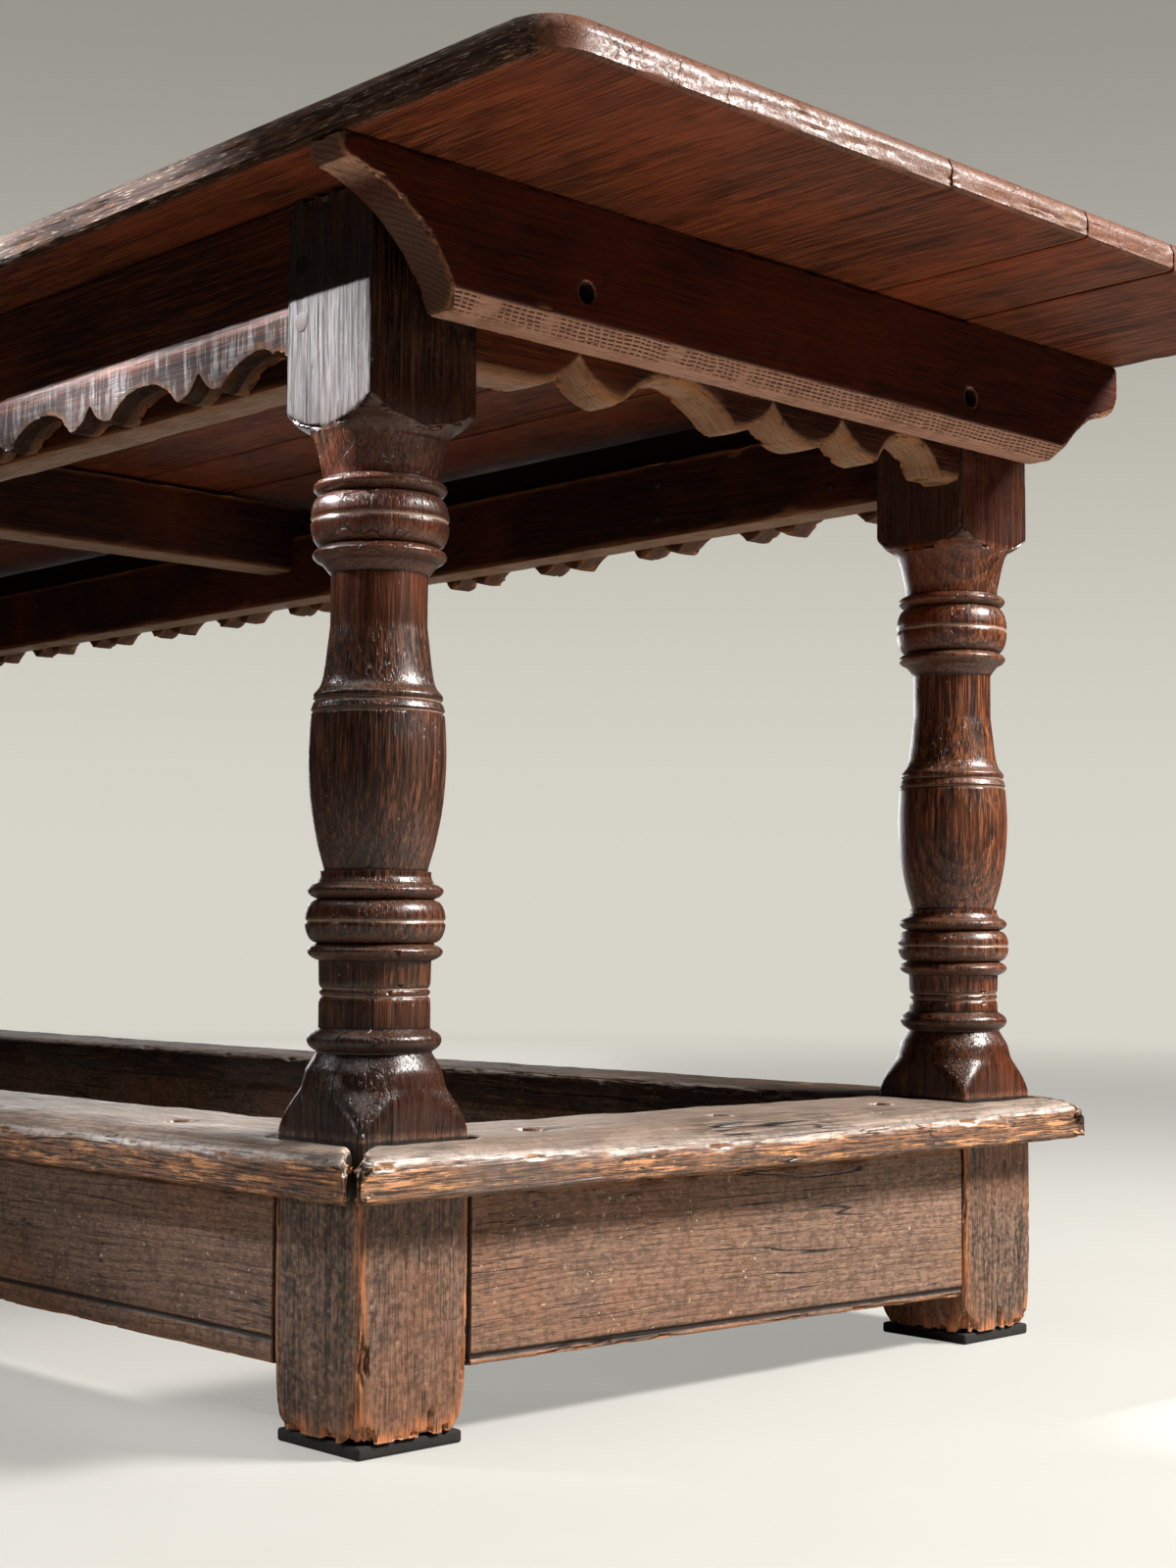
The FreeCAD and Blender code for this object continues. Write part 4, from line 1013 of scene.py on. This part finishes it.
def straight_piece(node, tones, axis, heart, seed, low, high, arris, step, wear, chip, swell,
                   scratch=None, sag=0.0):
    """A bar with rounded arrises. A scratch is a side (-1 or 1) and a height; a sag lowers the far end's lower edge."""
    low, high = np.array(low), np.array(high)
    grids = [lines(low[a], high[a], step if a == axis else 7 * mm, arris) for a in range(3)]
    if scratch:
        joint = np.array([-5.2, -4.4, -3.0, 0.0]) * mm
        kept = grids[axis][np.abs(grids[axis]) < high[axis] - 6 * mm]
        grids[axis] = np.sort(np.concatenate([kept, high[axis] + joint, low[axis] - joint]))
        side, height = scratch
        kept = grids[2][np.abs(grids[2] - height) > 3.6 * mm]
        grids[2] = np.sort(np.concatenate([kept, height + np.array([-3.0, -1.7, -0.85, 0.0, 0.85, 1.7, 3.0]) * mm]))
    points, faces = rounded_bar(low, high, arris, grids)
    inside = np.minimum(points - low, high - points)
    inside[:, axis] = 1.0
    near = np.sort(inside, axis=1)
    edge = unit(1.0 - (near[:, 0] + near[:, 1]) / (9 * mm))
    depth = np.zeros(len(points))
    if scratch:
        face = (high if side > 0 else low)[1 - axis]
        on_face = np.abs(points[:, 1 - axis] - face) < 0.2 * mm
        depth = np.sqrt(unit(1.0 - ((points[:, 2] - height) / (1.75 * mm)) ** 2)) * on_face
        points[:, 1 - axis] -= side * depth * 1.7 * mm
        gap = (np.abs(points[:, axis]) > high[axis] - 4.6 * mm).astype(float)
        middle = (low[1 - axis] + high[1 - axis]) / 2
        points[:, 1 - axis] -= np.sign(points[:, 1 - axis] - middle) * gap * 2.5 * mm
        depth = np.maximum(depth, gap)
    along = (points[:, axis] - low[axis]) / (high[axis] - low[axis])
    full = high[2] - low[2]
    points[:, 2] = high[2] - (high[2] - points[:, 2]) * (full + sag * along) / full
    mesh = mesh_of(node, points, faces)
    store(mesh, "edge", edge)
    # Painted shade in the scratched line and in the gaps at the legs
    store(mesh, "hollow", depth)
    material = oak(node + "_oak", tones, axis, heart, seed)
    return aged(node, mesh, material, "frame", axis, seed, wear, chip, swell, 50.0)


def node_box(node):
    low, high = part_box(node)
    return list(low), list(high)


for node, seed in (("liner_front", 2.9), ("liner_back", 6.6)):
    low, high = node_box(node)
    straight_piece(node, LINER_FINISH, 0, (low[1] + 0.06, 0.62), seed, low, high, 1.6 * mm, 14 * mm,
                   0.7 * mm, (2.0 * mm, 10 * mm, 0.4), (0.8 * mm, 90 * mm))
low, high = node_box("bearer")
straight_piece("bearer", LINER_FINISH, 1, (0.05, 0.66), 4.4, low, high, 2.0 * mm, 12 * mm,
               0.8 * mm, (2.0 * mm, 10 * mm, 0.4), (0.8 * mm, 90 * mm))

for node, axis, side, seed in (("stretcher_front", 0, -1, 1.7), ("stretcher_back", 0, 1, 5.9),
                               ("stretcher_right", 1, 1, 3.6), ("stretcher_left", 1, -1, 8.8)):
    low, high = node_box(node)
    sag = 8 * mm if axis == 1 else 0.0
    low[2] += sag
    reach = (LEG_X if axis == 0 else LEG_Y) - BLOCK / 2 + 3 * mm
    low[axis], high[axis] = -reach, reach
    heart = (low[1 - axis] + 0.09, 0.02)
    line = low[2] + (16.5 * mm if axis == 0 else 6.5 * mm)
    straight_piece(node, RAIL_FINISH, axis, heart, seed, low, high, 2.6 * mm, 6 * mm,
                   1.2 * mm, (3.0 * mm, 10 * mm, 0.44), (1.2 * mm, 80 * mm), (side, line), sag)


# Foot rails, remeshed from the solids

RAIL_CORNER = np.array((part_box("foot_rail_right")[1].x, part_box("foot_rail_back")[1].y))
LEG_CORNER = np.array((LEG_X, LEG_Y)) + BLOCK / 2
MITRE = (RAIL_CORNER - LEG_CORNER) / np.linalg.norm(RAIL_CORNER - LEG_CORNER)


def open_joints(mesh):
    """Opens the mitres by drawing their faces back, and returns the painted shade for the gaps there and round the
    legs.
    """
    points = points_of(mesh)
    quarter = np.sign(points[:, :2])
    away = np.abs(points[:, :2]) - LEG_CORNER
    past = away @ np.array((-MITRE[1], MITRE[0]))
    outside = (away @ MITRE > -3 * mm) & (np.abs(past) < 8 * mm)
    drawn = np.where(outside, unit(1.0 - np.abs(past) / (8 * mm)) * 2.2 * mm, 0.0)
    points[:, :2] += quarter * (np.sign(past) * drawn)[:, None] * np.array((-MITRE[1], MITRE[0]))
    mesh.vertices.foreach_set("co", points.ravel())
    mesh.update()
    mitre = np.where(outside, unit((2.4 * mm - np.abs(past)) / (1.2 * mm)), 0.0)
    from_block = np.maximum(np.abs(np.abs(points[:, 0]) - LEG_X), np.abs(np.abs(points[:, 1]) - LEG_Y)) - BLOCK / 2
    ragged = 1.0 + 0.6 * np.sin(points[:, 0] * 310.0) * np.sin(points[:, 1] * 270.0)
    return np.maximum(mitre, unit((3.2 * mm * ragged - from_block) / (1.5 * mm)))


FOOT_RAILS = (("foot_rail_front", 0, 2.2, 3.5 * mm, 0.5), ("foot_rail_back", 0, 6.4, 3.0 * mm, None),
              ("foot_rail_right", 1, 4.1, 1.75 * mm, None), ("foot_rail_left", 1, 9.9, 2.6 * mm, None))
for node, axis, seed, voxel, finer in FOOT_RAILS:
    low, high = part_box(node)
    mesh = solid_copy(node, voxel)
    mark_edges(mesh, round(55 * mm * mm / voxel / voxel), 1.9 * mm, 0.9)
    if finer:
        halve_faces(mesh, finer)
    store(mesh, "hollow", np.maximum(stored(mesh, "hollow"), open_joints(mesh)))
    heart = ((low[1 - axis] + high[1 - axis]) / 2 + 0.02, 0.11)
    tones = SHADED_BACK_CAP_FINISH if node == "foot_rail_back" else CAP_FINISH
    material = oak(node + "_oak", tones, axis, heart, seed)
    aged(node, mesh, material, "frame", axis, seed, 2.4 * mm, (5.5 * mm, 11 * mm, 0.5),
         (2.6 * mm, 44 * mm))


# Pegs and nails: one head for every solid in the CAD node, facing out of the piece that it holds

def loose_solids(node):
    """The lowest and highest corner of every separate solid in a CAD node."""
    work = merged(nodes[node].data)
    seen, found = set(), []
    for first in work.verts:
        if first.index in seen:
            continue
        group, waiting = [], [first]
        seen.add(first.index)
        while waiting:
            vert = waiting.pop()
            group.append(vert.co.copy())
            for joined in vert.link_edges:
                other = joined.other_vert(vert)
                if other.index not in seen:
                    seen.add(other.index)
                    waiting.append(other)
        corners = np.array(group)
        found.append((corners.min(0), corners.max(0)))
    work.free()
    return found


def driven_heads(node, outside, material, body, diameter, dome, sides, uneven, seed, proud):
    """Heads for the pegs or nails of a CAD node. Diameter, dome and how proud they stand are in millimetres."""
    places, facings = [], []
    for low, high in loose_solids(node):
        centre = (low + high) / 2
        facing = np.array(outside(low, high, centre), float)
        face = centre + facing * (high - low) / 2
        places.append(face + facing * (proud * mm))
        facings.append(facing)
    points = bpy.data.meshes.new(node)
    points.from_pydata([tuple(p) for p in places], [], [])
    attribute = points.attributes.new("facing", "FLOAT_VECTOR", "POINT")
    attribute.data.foreach_set("vector", np.array(facings, np.float32).ravel())
    values = {"Finish": material, "Diameter": diameter * mm, "Dome": dome * mm, "Sunk Length": 8 * mm,
              "Sides": sides, "Unevenness": uneven, "Seed": seed}
    made = outward(grown(points, DRIVEN_HEADS, values))
    made.attributes.new("edge", "FLOAT", "POINT")
    return place_piece(node, made, body, [node], 35.0)


def away_from_middle(low, high, centre):
    longest = int(np.argmax(high - low))
    facing = [0.0, 0.0, 0.0]
    facing[longest] = 1.0 if centre[longest] > 0 else -1.0
    return facing


def towards_middle(low, high, centre):
    return [-f for f in away_from_middle(low, high, centre)]


def upwards(low, high, centre):
    return [0.0, 0.0, 1.0]


PEG_FINISH = finish(body=(24, 15, 11), light=(44, 30, 23), gloss=0.6, sheen=0.1, shine=0.2)
BASE_PEG_FINISH = finish(dark=(50, 36, 28), body=(112, 84, 68), light=(146, 114, 94), gloss=0.6, sheen=0.0)
peg_oak = oak("peg_oak", PEG_FINISH, 2, (0.9, 0.3), 0.4)
base_peg_oak = oak("base_peg_oak", BASE_PEG_FINISH, 2, (0.9, 0.3), 1.4)
iron = plain_finish("forged_iron", (22, 18, 16), (58, 46, 38), 0.55, 0.7, 240.0)
felt = plain_finish("pad_felt", (14, 13, 12), (34, 31, 28), 0.9, 0.0, 400.0)

driven_heads("apron_pegs", away_from_middle, peg_oak, "frame", 12.6, 0.35, 18, 0.12, 3, -1.2)
driven_heads("stretcher_pegs", away_from_middle, base_peg_oak, "frame", 12.6, 0.6, 18, 0.16, 5, -1.35)
driven_heads("foot_rail_pegs", upwards, base_peg_oak, "frame", 10.8, 0.5, 18, 0.14, 7, -1.1)
driven_heads("batten_pegs", upwards, peg_oak, "top", 10.8, 0.4, 18, 0.1, 9, -0.5)
driven_heads("liner_nails", towards_middle, iron, "frame", 9.0, 1.9, 10, 0.3, 11, -2.0)


# Pads and the loose tongues between the boards

pads = []
for x in (-LEG_X, LEG_X):
    for y in (-LEG_Y, LEG_Y):
        half = 40 * mm
        low, high = (x - half, y - half, 0.0), (x + half, y + half, 8 * mm)
        grids = [lines(low[a], high[a], 9 * mm, 2 * mm) if a < 2 else np.linspace(0.0, 8 * mm, 7) for a in range(3)]
        pads.append(mesh_of("pad", *rounded_bar(low, high, 2 * mm, grids)))
work = bmesh.new()
for pad in pads:
    work.from_mesh(pad)
joined = bpy.data.meshes.new("foot_pads")
work.to_mesh(joined)
work.free()
joined.materials.append(felt)
place_piece("foot_pads_felt", joined, "frame", ["foot_pads"], 50.0)

tongue_oak = oak("tongue_oak", TOP_FINISH, 0, (0.0, 0.7), 2.2)
nodes["board_tongues"].data.materials.clear()
nodes["board_tongues"].data.materials.append(tongue_oak)


# Floor, light and camera

WALL_TONE = linear(215, 212, 201)
HIGH_WALL_TONE = linear(150, 147, 139)
FLOOR_TONE = linear(180, 179, 174)
SCUFF_TONE = linear(174, 172, 165)
PALE_TONE = linear(240, 238, 231)
BOUNCE_TONE = linear(170, 166, 158)


def studio_floor():
    side = 60.0
    mesh = mesh_of("floor", [(-side, -side, 0), (side, -side, 0), (side, side, 0), (-side, side, 0)], [(0, 1, 2, 3)])
    made, start = new_material("floor_paint")
    place = start.node("ShaderNodeTexCoord", None, None, "Object")
    path = start.node("ShaderNodeLightPath", None, None, "Is Camera Ray")
    seen = path.larger(path.other("Is Transmission Ray"))
    far = start.vectors("LENGTH", place, out="Value").between(2.2, 5.6)
    scuff = place.cloud(2.3, 5.0, 0.6)
    shade = start.tint(scuff.between(0.35, 0.7) * 0.5, FLOOR_TONE, SCUFF_TONE)
    shade = start.tint(seen, BOUNCE_TONE, shade)
    sockets = {"Base Color": shade, "Roughness": 0.5, "Specular IOR Level": 0.15}
    near = start.node("ShaderNodeBsdfPrincipled", None, sockets)
    glow = start.node("ShaderNodeEmission", None, {"Color": WALL_TONE, "Strength": 1.0})
    pale = start.node("ShaderNodeEmission", None, {"Color": PALE_TONE, "Strength": 1.0})
    lifted = start.node("ShaderNodeMixShader", None, {0: seen * 0.4, 1: near, 2: pale})
    mixed = start.node("ShaderNodeMixShader", None, {0: far * seen, 1: lifted, 2: glow})
    start.node("ShaderNodeOutputMaterial", None, {"Surface": mixed})
    mesh.materials.append(made)
    into_scene("floor", mesh)


def studio_world():
    world = bpy.data.worlds.new("studio")
    bpy.context.scene.world = world
    world.use_nodes = True
    world.node_tree.nodes.clear()
    start = Wire(world.node_tree)
    path = start.node("ShaderNodeLightPath", None, None, "Is Camera Ray")
    seen = path.larger(path.other("Is Transmission Ray"))
    height = start.node("ShaderNodeTexCoord", None, None, "Generated").split()[2]
    wall = start.tint(height.between(0.02, 0.42), WALL_TONE, HIGH_WALL_TONE)
    shown = start.node("ShaderNodeBackground", None, {"Color": wall, "Strength": 1.0})
    lit = start.node("ShaderNodeBackground", None, {"Color": linear(214, 216, 220), "Strength": 0.03})
    mixed = start.node("ShaderNodeMixShader", None, {0: seen, 1: lit, 2: shown})
    start.node("ShaderNodeOutputWorld", None, {"Surface": mixed})


def soft_lamp(name, azimuth, elevation, distance, width, height, power, tone, aim=(0.5, 0.0, 0.4), spread=180.0):
    """A soft box at an azimuth from +X towards +Y, aimed at the table."""
    data = bpy.data.lights.new(name, "AREA")
    data.shape = "RECTANGLE"
    data.size, data.size_y = width, height
    data.energy = power
    data.color = tone
    data.spread = math.radians(spread)
    a, e = math.radians(azimuth), math.radians(elevation)
    away = Vector((math.cos(a) * math.cos(e), math.sin(a) * math.cos(e), math.sin(e)))
    lamp = into_scene(name, data)
    lamp.location = Vector(aim) + away * distance
    lamp.rotation_mode = "QUATERNION"
    lamp.rotation_quaternion = (-away).to_track_quat("-Z", "Y")


def photo_camera():
    a, p, r = math.radians(46.274), math.radians(3.838), math.radians(0.337)
    ahead = Vector((-math.sin(a) * math.cos(p), math.cos(a) * math.cos(p), math.sin(p)))
    right = Vector((math.cos(a), math.sin(a), 0.0))
    up = right.cross(ahead)
    tilted_right = right * math.cos(r) + up * math.sin(r)
    tilted_up = up * math.cos(r) - right * math.sin(r)
    data = bpy.data.cameras.new("camera")
    data.sensor_width = 36.0
    data.lens = 36.0 * 2349.46 / 1600.0
    camera = into_scene("camera", data)
    turn = Matrix((tilted_right, tilted_up, -ahead)).transposed()
    camera.matrix_world = Matrix.Translation((1.9944, -1.1774, 0.3052)) @ turn.to_4x4()
    bpy.context.scene.camera = camera


WARM, NEUTRAL, COOL = (1.0, 0.97, 0.93), (1.0, 0.99, 0.97), (0.96, 0.98, 1.0)
SUN = (-142.0, 34.5, 4.6)

studio_floor()
studio_world()
soft_lamp("window_right", 37.0, 38.5, 2.4, 0.8, 0.42, 180.0, WARM, (0.9, 0.0, 0.4))
soft_lamp("window_left", *SUN, 0.05, 0.05, 0.3, COOL, (0.866, -0.333, 0.66), 2.2)
soft_lamp("window_far", *SUN, 0.1, 0.1, 1.1, COOL, (0.61, -0.333, 0.685), 3.4)
soft_lamp("window_cap", *SUN, 0.1, 0.1, 0.08, (0.98, 0.98, 1.0), (0.68, -0.40, 0.2), 4.0)
soft_lamp("window_low", -115.0, 14.0, 2.6, 1.7, 0.1, 0.19, NEUTRAL, (0.6, -0.35, 0.14), 6.0)
soft_lamp("window_back", 146.0, 7.0, 5.0, 2.4, 1.0, 35.0, NEUTRAL, (0.4, 0.0, 0.2))
soft_lamp("ceiling", 0.0, 90.0, 3.2, 3.4, 2.6, 72.0, NEUTRAL, (0.6, -1.0, 0.0))
photo_camera()
bpy.context.scene.view_settings.view_transform = "Standard"
